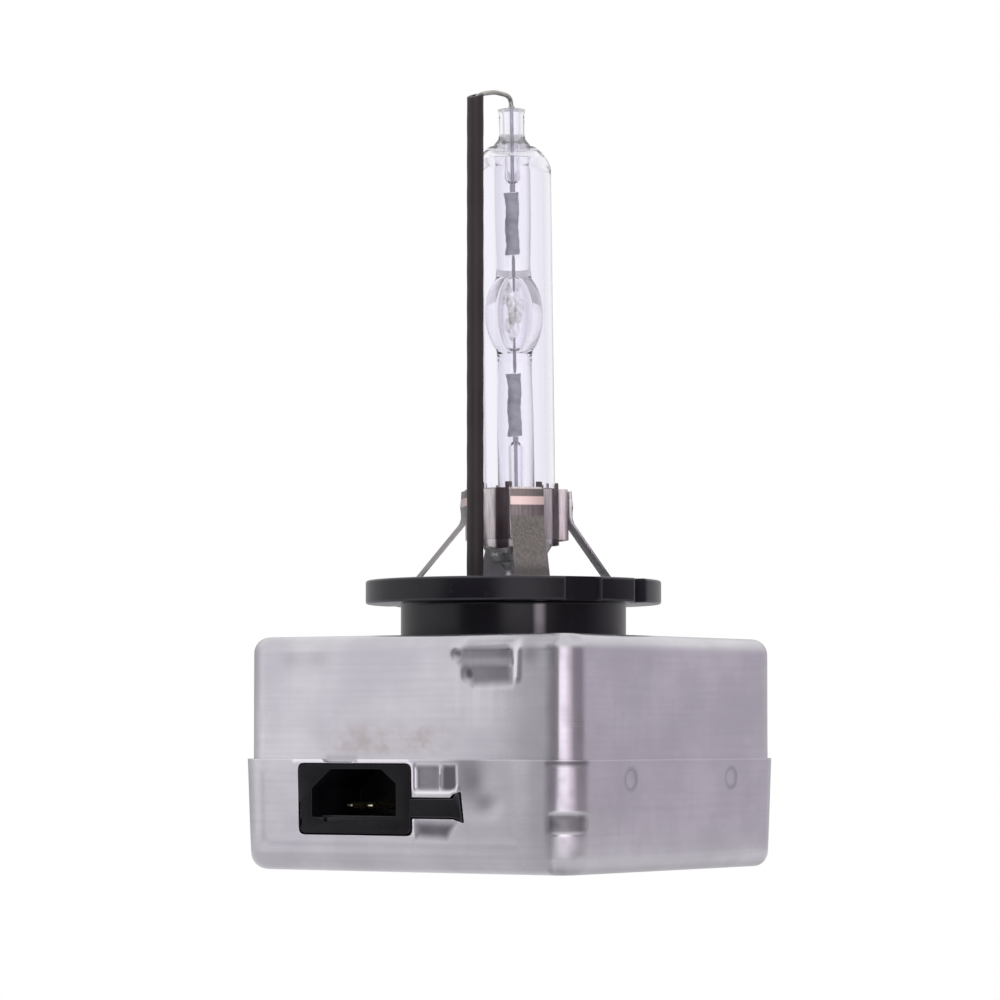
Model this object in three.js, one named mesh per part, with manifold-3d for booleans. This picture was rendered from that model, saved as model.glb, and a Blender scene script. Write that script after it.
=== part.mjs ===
// A gas-discharge headlight bulb with its ignitor built into the base.
//
// From the bottom up: a square sheet-metal shield, made of an upper can and a lower cover, holds a
// plastic ignitor case with the pulse transformer, spark gap and capacitor inside. A black lamp cap
// stands on top. Four sheet-metal legs rise from it and carry a clamp band, and the band grips the
// quartz burner. The return wire runs down beside the burner in a ceramic tube.
//
// Millimetres, +Z up. The origin is the middle of the underside, on the lamp's axis.
// The connector faces -Y.

import * as THREE from "three";
import { mergeVertices } from "three/addons/utils/BufferGeometryUtils.js";
import Module from "manifold-3d";

const wasm = await Module();
wasm.setup();

// ---------------------------------------------------------------- driving dimensions

const REFERENCE_Z = 29.0; // the flange's upper face, which seats against the headlamp
const LIGHT_CENTRE_Z = REFERENCE_Z + 27.1; // the middle of the arc
const ARC_GAP = 4.2; // between the two electrode tips

const CAN_HALF = 19.6; // half the width of the upper can
const CAN_TOP_Z = 23.15;
const CAN_WALL = 0.45;
const CAN_CORNER = 3.0;
const CAN_FILLET = 1.6;
const SKIRT_HALF = 19.4; // the can's lower edge is set in, to slide inside the cover
const SKIRT_BOTTOM_Z = 8.0;

const COVER_TOP_Z = 11.1;
const COVER_TOP_HALF = 20.06;
const COVER_BASE_HALF = 19.8; // the cover's wall leans out a little towards its rim
const COVER_WALL = 0.4;
const COVER_FILLET = 1.7;

const CASE_HALF = 18.5;
const CASE_WALL = 1.2;
const CASE_BOTTOM_Z = 1.6;
const CASE_TOP_Z = 22.2;

const FLANGE_RADIUS = 15.0;
const FLANGE_THICKNESS = 2.4;
const COLLAR_RADIUS = 11.43;
const WELL_RADIUS = 5.0; // the hollow in the cap that the burner's lower end stands in

const ENVELOPE_RADIUS = 3.95;
const ENVELOPE_WALL = 0.85;
const ENVELOPE_BOTTOM_Z = 30.8;
const ENVELOPE_TOP_Z = 73.3;
const STEM_RADIUS = 1.85;
const BULB_RADIUS = 2.95;
const TIP_RADIUS = 1.3; // the stem's narrow upper end
const TAIL_RADIUS = 1.2; // the stem's narrow lower end, below the envelope
const BURNER_TOP_Z = 77.2;
const BURNER_BOTTOM_Z = 24.0;

const FOIL_SIZE = { width: 1.45, thickness: 0.12, length: 6.35 };
const UPPER_FOIL_Z = 62.2; // lower end of the upper foil
const LOWER_FOIL_Z = 43.7; // lower end of the lower foil
const FOIL_TURN = -107; // degrees from facing +X
const WIRE_RADIUS = 0.25;

const BAND_BOTTOM_Z = 33.1;
const BAND_TOP_Z = 38.3;
const BAND_THICKNESS = 0.3;
const BULGE_REACH = 5.3; // from the axis to the outside of the band's four bulges
const LEG_FOOT_RADIUS = 9.9;
const LEG_WIDTH = 3.4;
const LEG_THICKNESS = 0.42;
const LEG_BEND_Z = 35.2;
const LEG_TOP_Z = 37.7;

const RETURN_Y = -6.9; // the return wire's place beside the burner
const TUBE_RADIUS = 0.84; // the ceramic tube around the return wire
const TUBE_TOP_Z = 77.2; // middle of its slanted end
const WIRE_CREST_Z = 78.5;

const SHROUD = { left: -12.2, right: 1.3, bottom: 3.7, top: 10.5, front: -20.0, back: -10.4 };
const SOCKET = { left: -10.6, right: -0.4, bottom: 5.3, top: 10.05, floor: -11.8 };
const PIN_Z = 6.4;
const PIN_TIP_Y = -15.7;
const PIN_HALF = 0.32;
const PIN_PLACES = [-9.1, -6.6];
const GUIDE_BAR = { right: 7.0, bottom: 5.4, top: 7.2, depth: 1.1 };

const ROUND_STEPS = 24; // facets round a large circle
const SMALL_STEPS = 16; // facets round a wire or a small cylinder
const CORNER_STEPS = 4;
const CLEARANCE = 0.1; // between pieces that rest on each other

// ---------------------------------------------------------------- finishes

function finish(color, roughness, metalness) {
  return new THREE.MeshStandardMaterial({ color, roughness, metalness });
}

const shieldMetal = finish(0xb9b4bb, 0.38, 0.85);
const blackPlastic = finish(0x1b1a1d, 0.55, 0.0);
const springSteel = finish(0x8d8781, 0.35, 1.0);
const quartz = finish(0xf2f0fa, 0.05, 0.0);
const brownCeramic = finish(0x3a302c, 0.6, 0.0);
const molybdenum = finish(0x77757c, 0.4, 1.0);
const tungsten = finish(0x55555a, 0.45, 1.0);
const nickel = finish(0x9a9a98, 0.35, 1.0);
const saltYellow = finish(0xd9c58a, 0.7, 0.0);
const goldPlate = finish(0xd8c79a, 0.3, 1.0);
const copper = finish(0xb8703f, 0.35, 1.0);
const enamelledWire = finish(0x9a4f24, 0.4, 0.6);
const ferrite = finish(0x2c2c2e, 0.6, 0.1);
const whiteCeramic = finish(0xe8e4da, 0.5, 0.0);
const boardGreen = finish(0x2f5d3a, 0.6, 0.0);
const filmYellow = finish(0xc9a23a, 0.5, 0.0);
const resistorBlue = finish(0x5b86a8, 0.5, 0.0);

// ---------------------------------------------------------------- shape tools

// A closed geometry as a solid that can be cut and joined.
function solidOf(geometry) {
  const bare = geometry.index ? geometry.toNonIndexed() : geometry.clone();
  bare.deleteAttribute("normal");
  bare.deleteAttribute("uv");
  const merged = mergeVertices(bare, 1e-4);
  const corners = merged.index.array;
  const kept = [];
  for (let i = 0; i < corners.length; i += 3) {
    const [a, b, c] = [corners[i], corners[i + 1], corners[i + 2]];
    if (a !== b && b !== c && c !== a) kept.push(a, b, c);
  }
  const vertProperties = merged.attributes.position.array;
  return new wasm.Manifold(new wasm.Mesh({ numProp: 3, vertProperties, triVerts: new Uint32Array(kept) }));
}

function geometryOf(solid) {
  const mesh = solid.getMesh();
  const positions = new Float32Array(mesh.numVert * 3);
  for (let i = 0; i < mesh.numVert; i++) {
    positions.set(mesh.vertProperties.subarray(i * mesh.numProp, i * mesh.numProp + 3), i * 3);
  }
  const indexed = new THREE.BufferGeometry();
  indexed.setAttribute("position", new THREE.BufferAttribute(positions, 3));
  indexed.setIndex(new THREE.BufferAttribute(mesh.triVerts, 1));
  const flat = indexed.toNonIndexed();
  flat.computeVertexNormals();
  return flat;
}

function join(first, ...others) {
  return geometryOf(others.reduce((sum, other) => sum.add(solidOf(other)), solidOf(first)));
}

function common(first, second) {
  return geometryOf(solidOf(first).intersect(solidOf(second)));
}

function cut(body, ...tools) {
  return geometryOf(tools.reduce((rest, tool) => rest.subtract(solidOf(tool)), solidOf(body)));
}

// Turns a profile of [radius, z] pairs round the Z axis. The outside runs upwards.
function turned(profile, steps = ROUND_STEPS) {
  const points = profile.map(([radius, z]) => new THREE.Vector2(radius, z));
  return new THREE.LatheGeometry(points, steps).rotateX(Math.PI / 2);
}

// A ring or tube between two radii and two heights.
function tube(outer, inner, bottom, top, steps = ROUND_STEPS) {
  const profile = [[inner, bottom], [outer, bottom], [outer, top], [inner, top], [inner, bottom]];
  return turned(profile, steps);
}

function rod(radius, bottom, top, steps = SMALL_STEPS) {
  return turned([[0, bottom], [radius, bottom], [radius, top], [0, top]], steps);
}

function block(x, y, z) {
  const box = new THREE.BoxGeometry(x[1] - x[0], y[1] - y[0], z[1] - z[0]);
  return box.translate((x[0] + x[1]) / 2, (y[0] + y[1]) / 2, (z[0] + z[1]) / 2);
}

// An outline in X and Z, carried along Y from front to back.
function carriedBack(outline, front, back) {
  const depth = back - front;
  const geometry = new THREE.ExtrudeGeometry(outline, { depth, bevelEnabled: false });
  return geometry.rotateX(Math.PI / 2).translate(0, back, 0);
}

function outlineOf(points) {
  return new THREE.Shape(points.map(([x, y]) => new THREE.Vector2(x, y)));
}

// A square block with rounded upright corners, whose half width and corner change with height.
function roundedStack(levels) {
  const ringLength = 4 * (CORNER_STEPS + 1);
  const positions = [];
  const index = [];
  for (const { z, half, corner } of levels) {
    for (let quarter = 0; quarter < 4; quarter++) {
      const signX = quarter === 0 || quarter === 3 ? 1 : -1;
      const signY = quarter < 2 ? 1 : -1;
      for (let i = 0; i <= CORNER_STEPS; i++) {
        const angle = ((quarter + i / CORNER_STEPS) * Math.PI) / 2;
        const x = signX * (half - corner) + corner * Math.cos(angle);
        const y = signY * (half - corner) + corner * Math.sin(angle);
        positions.push(x, y, z);
      }
    }
  }
  const bottomCentre = positions.length / 3;
  const topCentre = bottomCentre + 1;
  positions.push(0, 0, levels[0].z, 0, 0, levels[levels.length - 1].z);
  for (let i = 0; i < ringLength; i++) {
    const next = (i + 1) % ringLength;
    for (let level = 0; level < levels.length - 1; level++) {
      const low = level * ringLength;
      const high = low + ringLength;
      index.push(low + i, low + next, high + next, low + i, high + next, high + i);
    }
    const last = (levels.length - 1) * ringLength;
    index.push(bottomCentre, next, i, topCentre, last + i, last + next);
  }
  const geometry = new THREE.BufferGeometry();
  geometry.setAttribute("position", new THREE.Float32BufferAttribute(positions, 3));
  return geometry.setIndex(index);
}

// Levels that round a block's upper edge over.
function roundedOver(half, corner, top, fillet, steps = 4) {
  return Array.from({ length: steps + 1 }, (_, i) => {
    const angle = (i / steps) * (Math.PI / 2);
    const inset = fillet * (1 - Math.cos(angle));
    return { z: top - fillet + fillet * Math.sin(angle), half: half - inset, corner: corner - inset };
  });
}

const lamp = new THREE.Group();

function add(name, geometry, material, place = {}) {
  const mesh = new THREE.Mesh(geometry, material);
  mesh.name = name;
  mesh.position.set(place.x ?? 0, place.y ?? 0, place.z ?? 0);
  mesh.rotation.z = place.turn ?? 0;
  lamp.add(mesh);
  return mesh;
}

// ---------------------------------------------------------------- shield

// A shallow rectangular pocket pressed into the can's front wall, as the metal that it takes away.
const POCKET = { x: [6.3, 12.9], z: [18.0, 21.6], depth: 0.5 };

function pocketCutter(inset) {
  const front = -CAN_HALF - 1;
  const floor = -CAN_HALF + POCKET.depth + inset;
  const x = [POCKET.x[0] - inset, POCKET.x[1] + inset];
  const z = [POCKET.z[0] - inset, POCKET.z[1] + inset];
  return block(x, [front, floor], z);
}

function canLevels(inset, bottom) {
  const joggle = COVER_TOP_Z - CLEARANCE;
  return [
    { z: bottom, half: SKIRT_HALF - inset, corner: CAN_CORNER - 0.2 - inset },
    { z: joggle - 0.2, half: SKIRT_HALF - inset, corner: CAN_CORNER - 0.2 - inset },
    { z: joggle + 0.2, half: CAN_HALF - inset, corner: CAN_CORNER - inset },
    ...roundedOver(CAN_HALF - inset, CAN_CORNER - inset, CAN_TOP_Z - inset, CAN_FILLET - inset),
  ];
}

function upperCan() {
  const hollow = cut(roundedStack(canLevels(CAN_WALL, SKIRT_BOTTOM_Z - 1)), pocketCutter(CAN_WALL));
  const connectorNotch = block([-12.9, 8.2], [-21, -17], [SKIRT_BOTTOM_Z - 1, 10.8]);
  const collarHole = rod(COLLAR_RADIUS + 0.17, CAN_TOP_Z - 2, CAN_TOP_Z + 1, ROUND_STEPS);
  const sheet = cut(roundedStack(canLevels(0, SKIRT_BOTTOM_Z)), pocketCutter(0), hollow);
  return cut(sheet, connectorNotch, collarHole);
}

function coverLevels(inset, top) {
  const edge = COVER_FILLET - inset;
  const base = COVER_BASE_HALF - inset;
  const corner = CAN_CORNER + 0.1 - inset;
  const rounded = [0, 1, 2, 3].map((i) => {
    const angle = (i / 3) * (Math.PI / 2);
    const set = edge * (1 - Math.sin(angle));
    return { z: COVER_FILLET - edge * Math.cos(angle), half: base - set, corner: corner - set };
  });
  const lean = (COVER_TOP_HALF - COVER_BASE_HALF) / (COVER_TOP_Z - COVER_FILLET);
  return [...rounded, { z: top, half: base + lean * (top - COVER_FILLET), corner }];
}

// The window that the connector and its guide bar show through, grown by a margin.
function connectorWindow(margin) {
  const bar = GUIDE_BAR;
  const socketHole = block(
    [SHROUD.left - margin, SHROUD.right + margin],
    [-21, -18.6],
    [SHROUD.bottom - margin, SHROUD.top + margin],
  );
  const barSlot = block([0, bar.right], [-21, -18.6], [bar.bottom - margin, bar.top + margin]);
  const endSlot = block(
    [bar.right - 1.0, bar.right + 0.4 + margin],
    [-21, -18.6],
    [bar.bottom - 0.4 - margin, bar.top + 0.5 + margin],
  );
  return [socketHole, barSlot, endSlot];
}

const DIMPLE_Z = 9.1;
const DIMPLE_Y = 9.45;
const DIMPLE_RADIUS = 1.1;

function lowerCover() {
  const tray = cut(
    roundedStack(coverLevels(0, COVER_TOP_Z)),
    roundedStack(coverLevels(COVER_WALL, COVER_TOP_Z + 1)),
  );
  const dimples = [-1, 1].flatMap((side) =>
    [-1, 1].map((along) => {
      const punch = new THREE.CylinderGeometry(DIMPLE_RADIUS, DIMPLE_RADIUS, 1, SMALL_STEPS);
      const reach = COVER_TOP_HALF + 0.28;
      return punch.rotateZ(Math.PI / 2).translate(side * reach, along * DIMPLE_Y, DIMPLE_Z);
    }),
  );
  return cut(tray, ...connectorWindow(0.15), ...dimples, ...PANELS.map(panelCutter));
}

// Two shallow panels pressed into the cover, above and below the guide bar.
const PANELS = [
  { x: [1.7, 6.5], z: [7.95, 10.5], floor: -19.83 },
  { x: [1.9, 6.0], z: [3.4, 4.9], floor: -19.7 },
];

function panelCutter({ x, z, floor }) {
  return block(x, [floor - 1, floor], z);
}

add("upper_shield_can", upperCan(), shieldMetal);
add("lower_shield_cover", lowerCover(), shieldMetal);

// ---------------------------------------------------------------- ignitor case and connector

function ignitorCase() {
  const outside = { half: CASE_HALF, corner: 2.2 };
  const inside = { half: CASE_HALF - CASE_WALL, corner: 1.2 };
  const shell = cut(
    roundedStack([{ z: CASE_BOTTOM_Z, ...outside }, { z: CASE_TOP_Z, ...outside }]),
    roundedStack([{ z: CASE_BOTTOM_Z - 1, ...inside }, { z: CASE_TOP_Z - CASE_WALL, ...inside }]),
  );
  const connectorHole = block(
    [SHROUD.left - CLEARANCE, SHROUD.right + CLEARANCE],
    [-CASE_HALF - 1, -CASE_HALF + CASE_WALL + 1],
    [SHROUD.bottom - CLEARANCE, SHROUD.top + CLEARANCE],
  );
  const leadHole = rod(2.2, CASE_TOP_Z - 3, CASE_TOP_Z + 1);
  const returnHole = rod(1.0, CASE_TOP_Z - 3, CASE_TOP_Z + 1).translate(0, RETURN_Y, 0);
  return cut(shell, connectorHole, leadHole, returnHole);
}

function caseLid() {
  const plate = { half: CASE_HALF, corner: 2.2 };
  return roundedStack([
    { z: COVER_WALL + 2 * CLEARANCE, ...plate },
    { z: CASE_BOTTOM_Z - CLEARANCE, ...plate },
  ]);
}

function connectorShroud() {
  const { left, right, bottom, top, front, back } = SHROUD;
  const rounding = 0.6;
  const outline = outlineOf([
    [left + rounding, bottom],
    [right - rounding, bottom],
    [right, bottom + rounding],
    [right, top - rounding],
    [right - rounding, top],
    [left + rounding, top],
    [left, top - rounding],
    [left, bottom + rounding],
  ]);
  const socket = outlineOf([
    [SOCKET.left, SOCKET.bottom],
    [SOCKET.right, SOCKET.bottom],
    [SOCKET.right, SOCKET.top - 1.4],
    [SOCKET.right - 1.8, SOCKET.top],
    [SOCKET.left + 2.3, SOCKET.top],
    [SOCKET.left, SOCKET.top - 1.9],
  ]);
  const bar = GUIDE_BAR;
  const guideBar = outlineOf([
    [right - 0.5, bar.bottom],
    [bar.right - 0.7, bar.bottom],
    [bar.right + 0.4, bar.bottom - 0.4],
    [bar.right, bar.top + 0.5],
    [bar.right - 0.7, bar.top + 0.3],
    [bar.right - 1.0, bar.top],
    [right - 0.5, bar.top],
  ]);
  const body = join(
    carriedBack(outline, front, back),
    carriedBack(guideBar, front, front + bar.depth),
  );
  const bore = PIN_HALF + 0.05;
  const pinHoles = PIN_PLACES.map((x) =>
    block([x - bore, x + bore], [SOCKET.floor - 1, back + 1], [PIN_Z - bore, PIN_Z + bore]),
  );
  const keyway = block([-9.2, -8.7], [front - 1, front + 3], [SOCKET.bottom - 0.4, SOCKET.bottom + 0.2]);
  return cut(body, carriedBack(socket, front - 1, SOCKET.floor), keyway, ...pinHoles);
}

// A square pin with a tapered tip. Behind the connector it turns down to the carrier plate.
function connectorPin() {
  const bodyEnd = PIN_TIP_Y + 0.5;
  const half = PIN_HALF;
  const tail = -8.6;
  const side = outlineOf([
    [PIN_TIP_Y, -half / 3],
    [bodyEnd, -half],
    [tail - 2 * half, -half],
    [tail - 2 * half, 3.1 - PIN_Z],
    [tail, 3.1 - PIN_Z],
    [tail, half],
    [bodyEnd, half],
    [PIN_TIP_Y, half / 3],
  ]);
  const geometry = new THREE.ExtrudeGeometry(side, { depth: 2 * half, bevelEnabled: false });
  // The outline's own axes become Y and Z, and its thickness runs along X.
  geometry.applyMatrix4(new THREE.Matrix4().set(0, 0, 1, -half, 1, 0, 0, 0, 0, 1, 0, PIN_Z, 0, 0, 0, 1));
  return geometry;
}

add("ignitor_case", ignitorCase(), blackPlastic);
add("ignitor_case_lid", caseLid(), blackPlastic);
add("connector_shroud", connectorShroud(), blackPlastic);
add("connector_pin_left", connectorPin(), goldPlate, { x: PIN_PLACES[0] });
add("connector_pin_right", connectorPin(), goldPlate, { x: PIN_PLACES[1] });

// ---------------------------------------------------------------- lamp cap

const RIM_NOTCHES = [{ turn: 2, width: 1.9, depth: 1.5 }, { turn: 182, width: 1.9, depth: 1.5 }];
const RIM_RECESSES = [{ turn: -28.5, width: 3.8, depth: 0.5 }, { turn: 151.5, width: 3.8, depth: 0.5 }];
const LEG_TURNS = { front: -45, right: 45, back: 135, left: 225 };
const degrees = THREE.MathUtils.degToRad;

function rimCutter({ turn, width, depth }) {
  const bite = block(
    [FLANGE_RADIUS - depth, FLANGE_RADIUS + 1],
    [-width / 2, width / 2],
    [REFERENCE_Z - FLANGE_THICKNESS - 1, REFERENCE_Z + 1],
  );
  return bite.rotateZ(degrees(turn));
}

function lampCap() {
  const collarBottom = CASE_TOP_Z + CLEARANCE;
  const flangeBottom = REFERENCE_Z - FLANGE_THICKNESS;
  const edge = 0.25;
  const body = turned([
    [STEM_RADIUS + 0.2, collarBottom],
    [COLLAR_RADIUS, collarBottom],
    [COLLAR_RADIUS, flangeBottom],
    [FLANGE_RADIUS - edge, flangeBottom],
    [FLANGE_RADIUS, flangeBottom + edge],
    [FLANGE_RADIUS, REFERENCE_Z - edge],
    [FLANGE_RADIUS - edge, REFERENCE_Z],
    [WELL_RADIUS, REFERENCE_Z],
    [WELL_RADIUS, REFERENCE_Z - 3],
    [STEM_RADIUS + 0.2, REFERENCE_Z - 3],
    [STEM_RADIUS + 0.2, collarBottom],
  ], 2 * ROUND_STEPS);
  const legSlots = Object.values(LEG_TURNS).map((turn) => {
    const slot = block(
      [LEG_FOOT_RADIUS - 0.4, LEG_FOOT_RADIUS + 0.5],
      [-LEG_WIDTH / 2 - 0.1, LEG_WIDTH / 2 + 0.1],
      [REFERENCE_Z - 3, REFERENCE_Z + 1],
    );
    return slot.rotateZ(degrees(turn));
  });
  const returnHole = rod(TUBE_RADIUS + 0.12, collarBottom - 1, REFERENCE_Z + 1).translate(0, RETURN_Y, 0);
  const rimCutters = [...RIM_NOTCHES, ...RIM_RECESSES].map(rimCutter);
  return cut(body, ...legSlots, returnHole, ...rimCutters);
}

add("lamp_cap", lampCap(), blackPlastic);

// ---------------------------------------------------------------- legs and clamp band

// A strip seen from its side: it stands in the cap, leans in to the band and is welded to a bulge.
function supportLeg() {
  const half = LEG_THICKNESS / 2;
  const top = BULGE_REACH + 0.1 + half;
  const foot = LEG_FOOT_RADIUS;
  const centreLine = [
    [foot, REFERENCE_Z - 2.8],
    [foot, REFERENCE_Z + 0.2],
    [top + 0.25, LEG_BEND_Z - 0.4],
    [top, LEG_BEND_Z + 0.4],
    [top, LEG_TOP_Z - 1.0],
    [top + 0.15, LEG_TOP_Z],
  ];
  const outer = centreLine.map(([r, z]) => [r + half, z]);
  const inner = centreLine.map(([r, z]) => [r - half, z]).reverse();
  const outline = outlineOf([...outer, ...inner]);
  return carriedBack(outline, -LEG_WIDTH / 2, LEG_WIDTH / 2);
}

for (const [side, turn] of Object.entries(LEG_TURNS)) {
  add(`support_leg_${side}`, supportLeg(), springSteel, { turn: degrees(turn) });
}

function crossOfBulges(reach, width, bottom, top) {
  return Object.values(LEG_TURNS).map((turn) =>
    block([0, reach], [-width / 2, width / 2], [bottom, top]).rotateZ(degrees(turn)),
  );
}

function clampBand() {
  const inside = ENVELOPE_RADIUS + 0.06;
  const outside = inside + BAND_THICKNESS;
  const wallTo = BULGE_REACH - BAND_THICKNESS;
  const solid = join(
    rod(outside, BAND_BOTTOM_Z, BAND_TOP_Z, ROUND_STEPS),
    ...crossOfBulges(BULGE_REACH, LEG_WIDTH, BAND_BOTTOM_Z, BAND_TOP_Z),
  );
  return cut(
    solid,
    rod(inside, BAND_BOTTOM_Z - 1, BAND_TOP_Z + 1, ROUND_STEPS),
    ...crossOfBulges(wallTo, LEG_WIDTH - 2 * BAND_THICKNESS, BAND_BOTTOM_Z - 1, BAND_TOP_Z + 1),
  );
}

add("clamp_band", clampBand(), springSteel);

// ---------------------------------------------------------------- burner

// The outer quartz tube, drawn in at both ends onto the arc tube's stem.
function outerEnvelope() {
  const outer = ENVELOPE_RADIUS;
  const inner = ENVELOPE_RADIUS - ENVELOPE_WALL;
  const neck = STEM_RADIUS + 0.05;
  const bottom = ENVELOPE_BOTTOM_Z;
  const top = ENVELOPE_TOP_Z;
  return turned([
    [neck, bottom],
    [neck + 0.75, bottom],
    [outer - 0.75, bottom + 0.9],
    [outer, bottom + 2.2],
    [outer, top - 2.0],
    [outer - 0.35, top - 1.2],
    [neck + 0.8, top],
    [neck, top],
    [neck, top - 1.2],
    [inner, top - 2.4],
    [inner, bottom + 2.4],
    [neck, bottom + 1.2],
    [neck, bottom],
  ]);
}

// Points of an ellipse about the light centre, from one height to another.
function ellipse(radius, halfHeight, from, to, steps) {
  return Array.from({ length: steps + 1 }, (_, i) => {
    const z = from + ((to - from) * i) / steps;
    const share = (z - LIGHT_CENTRE_Z) / halfHeight;
    return [radius * Math.sqrt(Math.max(0, 1 - share * share)), z];
  });
}

const CHAMBER = { radius: 1.45, halfHeight: 3.65 };
const ELECTRODE_BORE = 0.25;
const LEAD_BORE = 0.85;

// The inner quartz body: a stem, the bulb with the discharge chamber, and a stem again.
function arcTube() {
  const { radius, halfHeight } = CHAMBER;
  const chamberEnd = halfHeight * Math.sqrt(1 - (ELECTRODE_BORE / radius) ** 2);
  const lowerFoilTop = LOWER_FOIL_Z + FOIL_SIZE.length;
  const bulbHalf = 4.6;
  const bulbEnd = bulbHalf * Math.sqrt(1 - (STEM_RADIUS / BULB_RADIUS) ** 2);
  const outside = [
    [LEAD_BORE, BURNER_BOTTOM_Z],
    [TAIL_RADIUS, BURNER_BOTTOM_Z],
    [TAIL_RADIUS, ENVELOPE_BOTTOM_Z - 0.6],
    [STEM_RADIUS, ENVELOPE_BOTTOM_Z],
    ...ellipse(BULB_RADIUS, bulbHalf, LIGHT_CENTRE_Z - bulbEnd, LIGHT_CENTRE_Z + bulbEnd, 8),
    [STEM_RADIUS, ENVELOPE_TOP_Z],
    [TIP_RADIUS, ENVELOPE_TOP_Z + 0.6],
    [TIP_RADIUS, BURNER_TOP_Z],
    [LEAD_BORE, BURNER_TOP_Z],
  ];
  const inside = [
    [LEAD_BORE, UPPER_FOIL_Z - 0.2],
    [ELECTRODE_BORE, UPPER_FOIL_Z - 0.2],
    ...ellipse(radius, halfHeight, LIGHT_CENTRE_Z + chamberEnd, LIGHT_CENTRE_Z - chamberEnd, 8),
    [ELECTRODE_BORE, lowerFoilTop + 0.2],
    [LEAD_BORE, lowerFoilTop + 0.2],
    [LEAD_BORE, BURNER_BOTTOM_Z],
  ];
  return turned([...outside, ...inside]);
}

function foil(bottom) {
  const { width, thickness, length } = FOIL_SIZE;
  const strip = block([-thickness / 2, thickness / 2], [-width / 2, width / 2], [bottom, bottom + length]);
  return strip.rotateZ(degrees(FOIL_TURN));
}

// Salts settle as a thin patch on the chamber's wall, above the arc.
function saltPatch() {
  const { radius, halfHeight } = CHAMBER;
  const from = LIGHT_CENTRE_Z - 3;
  const to = LIGHT_CENTRE_Z + 3;
  const near = turned([[0, from], ...ellipse(radius - 0.1, halfHeight - 0.2, from, to, 12), [0, to]], 24);
  const far = turned([[0, from], ...ellipse(radius - 0.22, halfHeight - 0.3, from, to, 12), [0, to]], 24);
  const sector = block([0, 2], [-0.75, 0.75], [LIGHT_CENTRE_Z + 0.6, LIGHT_CENTRE_Z + 2.3]);
  return common(cut(near, far), sector.rotateZ(degrees(140)));
}

const upperTipZ = LIGHT_CENTRE_Z + ARC_GAP / 2;
const lowerTipZ = LIGHT_CENTRE_Z - ARC_GAP / 2;
const ELECTRODE_RADIUS = 0.16;
const gap = 0.05;

add("outer_envelope", outerEnvelope(), quartz);
add("arc_tube", arcTube(), quartz);
add("upper_electrode", rod(ELECTRODE_RADIUS, upperTipZ, UPPER_FOIL_Z - gap), tungsten);
add("lower_electrode", rod(ELECTRODE_RADIUS, LOWER_FOIL_Z + FOIL_SIZE.length + gap, lowerTipZ), tungsten);
add("upper_foil", foil(UPPER_FOIL_Z), molybdenum);
add("lower_foil", foil(LOWER_FOIL_Z), molybdenum);
add("upper_lead", rod(WIRE_RADIUS, UPPER_FOIL_Z + FOIL_SIZE.length + gap, BURNER_TOP_Z + 0.1), molybdenum);
add("lower_lead", rod(WIRE_RADIUS, 17.2, LOWER_FOIL_Z - gap), molybdenum);
add("halide_salts", saltPatch(), saltYellow);

// ---------------------------------------------------------------- return conductor

// The wire rises inside its tube, arches over to the axis and ends on the burner's upper lead.
function returnWire() {
  const crest = WIRE_CREST_Z - WIRE_RADIUS;
  const bendStart = TUBE_TOP_Z;
  const at = (y, z) => new THREE.Vector3(0, y, z);
  const path = new THREE.CurvePath();
  const risen = at(RETURN_Y, bendStart);
  const overTop = at(RETURN_Y + 1.3, crest);
  const nearAxis = at(-1.0, crest);
  path.add(new THREE.LineCurve3(at(RETURN_Y, bendStart - 1), risen));
  path.add(new THREE.QuadraticBezierCurve3(risen, at(RETURN_Y, crest), overTop));
  path.add(new THREE.LineCurve3(overTop, nearAxis));
  path.add(new THREE.QuadraticBezierCurve3(nearAxis, at(0, crest), at(0, BURNER_TOP_Z + 0.25)));
  const section = new THREE.Shape().absarc(0, 0, WIRE_RADIUS - 0.01, 0, 2 * Math.PI);
  const arch = new THREE.ExtrudeGeometry(section, { steps: 44, curveSegments: 5, extrudePath: path });
  return join(arch, rod(WIRE_RADIUS - 0.01, 19.0, bendStart - 0.9, 10).translate(0, RETURN_Y, 0));
}

function returnTube() {
  const sleeve = tube(TUBE_RADIUS, WIRE_RADIUS + 0.15, 24.0, TUBE_TOP_Z + 1, SMALL_STEPS);
  const slant = block([-3, 3], [-3, 3], [0, 4]).rotateX(degrees(20)).translate(0, 0, TUBE_TOP_Z);
  return cut(sleeve, slant);
}

add("return_wire", returnWire(), nickel);
add("return_insulator_tube", returnTube(), brownCeramic, { y: RETURN_Y });

// ---------------------------------------------------------------- ignitor

const CARRIER = { bottom: 2.0, top: 2.9, half: 16.6 };
const TRANSFORMER = { y: 8.6, z: 11.6 };
const CORE = { radius: 2.9, half: 15.2 };
const BOBBIN = { radius: 4.0, flange: 7.6, half: 15.0, wall: 0.8, rooms: 5 };

function alongX(geometry, y, z) {
  return geometry.rotateY(Math.PI / 2).translate(0, y, z);
}

function transformerCore() {
  return alongX(rod(CORE.radius, -CORE.half, CORE.half, 24), TRANSFORMER.y, TRANSFORMER.z);
}

function bobbinFlanges() {
  const pitch = (2 * BOBBIN.half - BOBBIN.wall) / BOBBIN.rooms;
  return Array.from({ length: BOBBIN.rooms + 1 }, (_, i) => -BOBBIN.half + i * pitch);
}

// The bobbin's flanges part the high-voltage winding into rooms.
function bobbin() {
  const bore = CORE.radius + CLEARANCE;
  const { radius, flange, half, wall } = BOBBIN;
  const outside = bobbinFlanges().flatMap((start) => [
    [radius, start],
    [flange, start],
    [flange, start + wall],
    [radius, start + wall],
  ]);
  const profile = [[bore, -half], ...outside.slice(1, -1), [bore, half], [bore, -half]];
  return alongX(turned(profile, 20), TRANSFORMER.y, TRANSFORMER.z);
}

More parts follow.
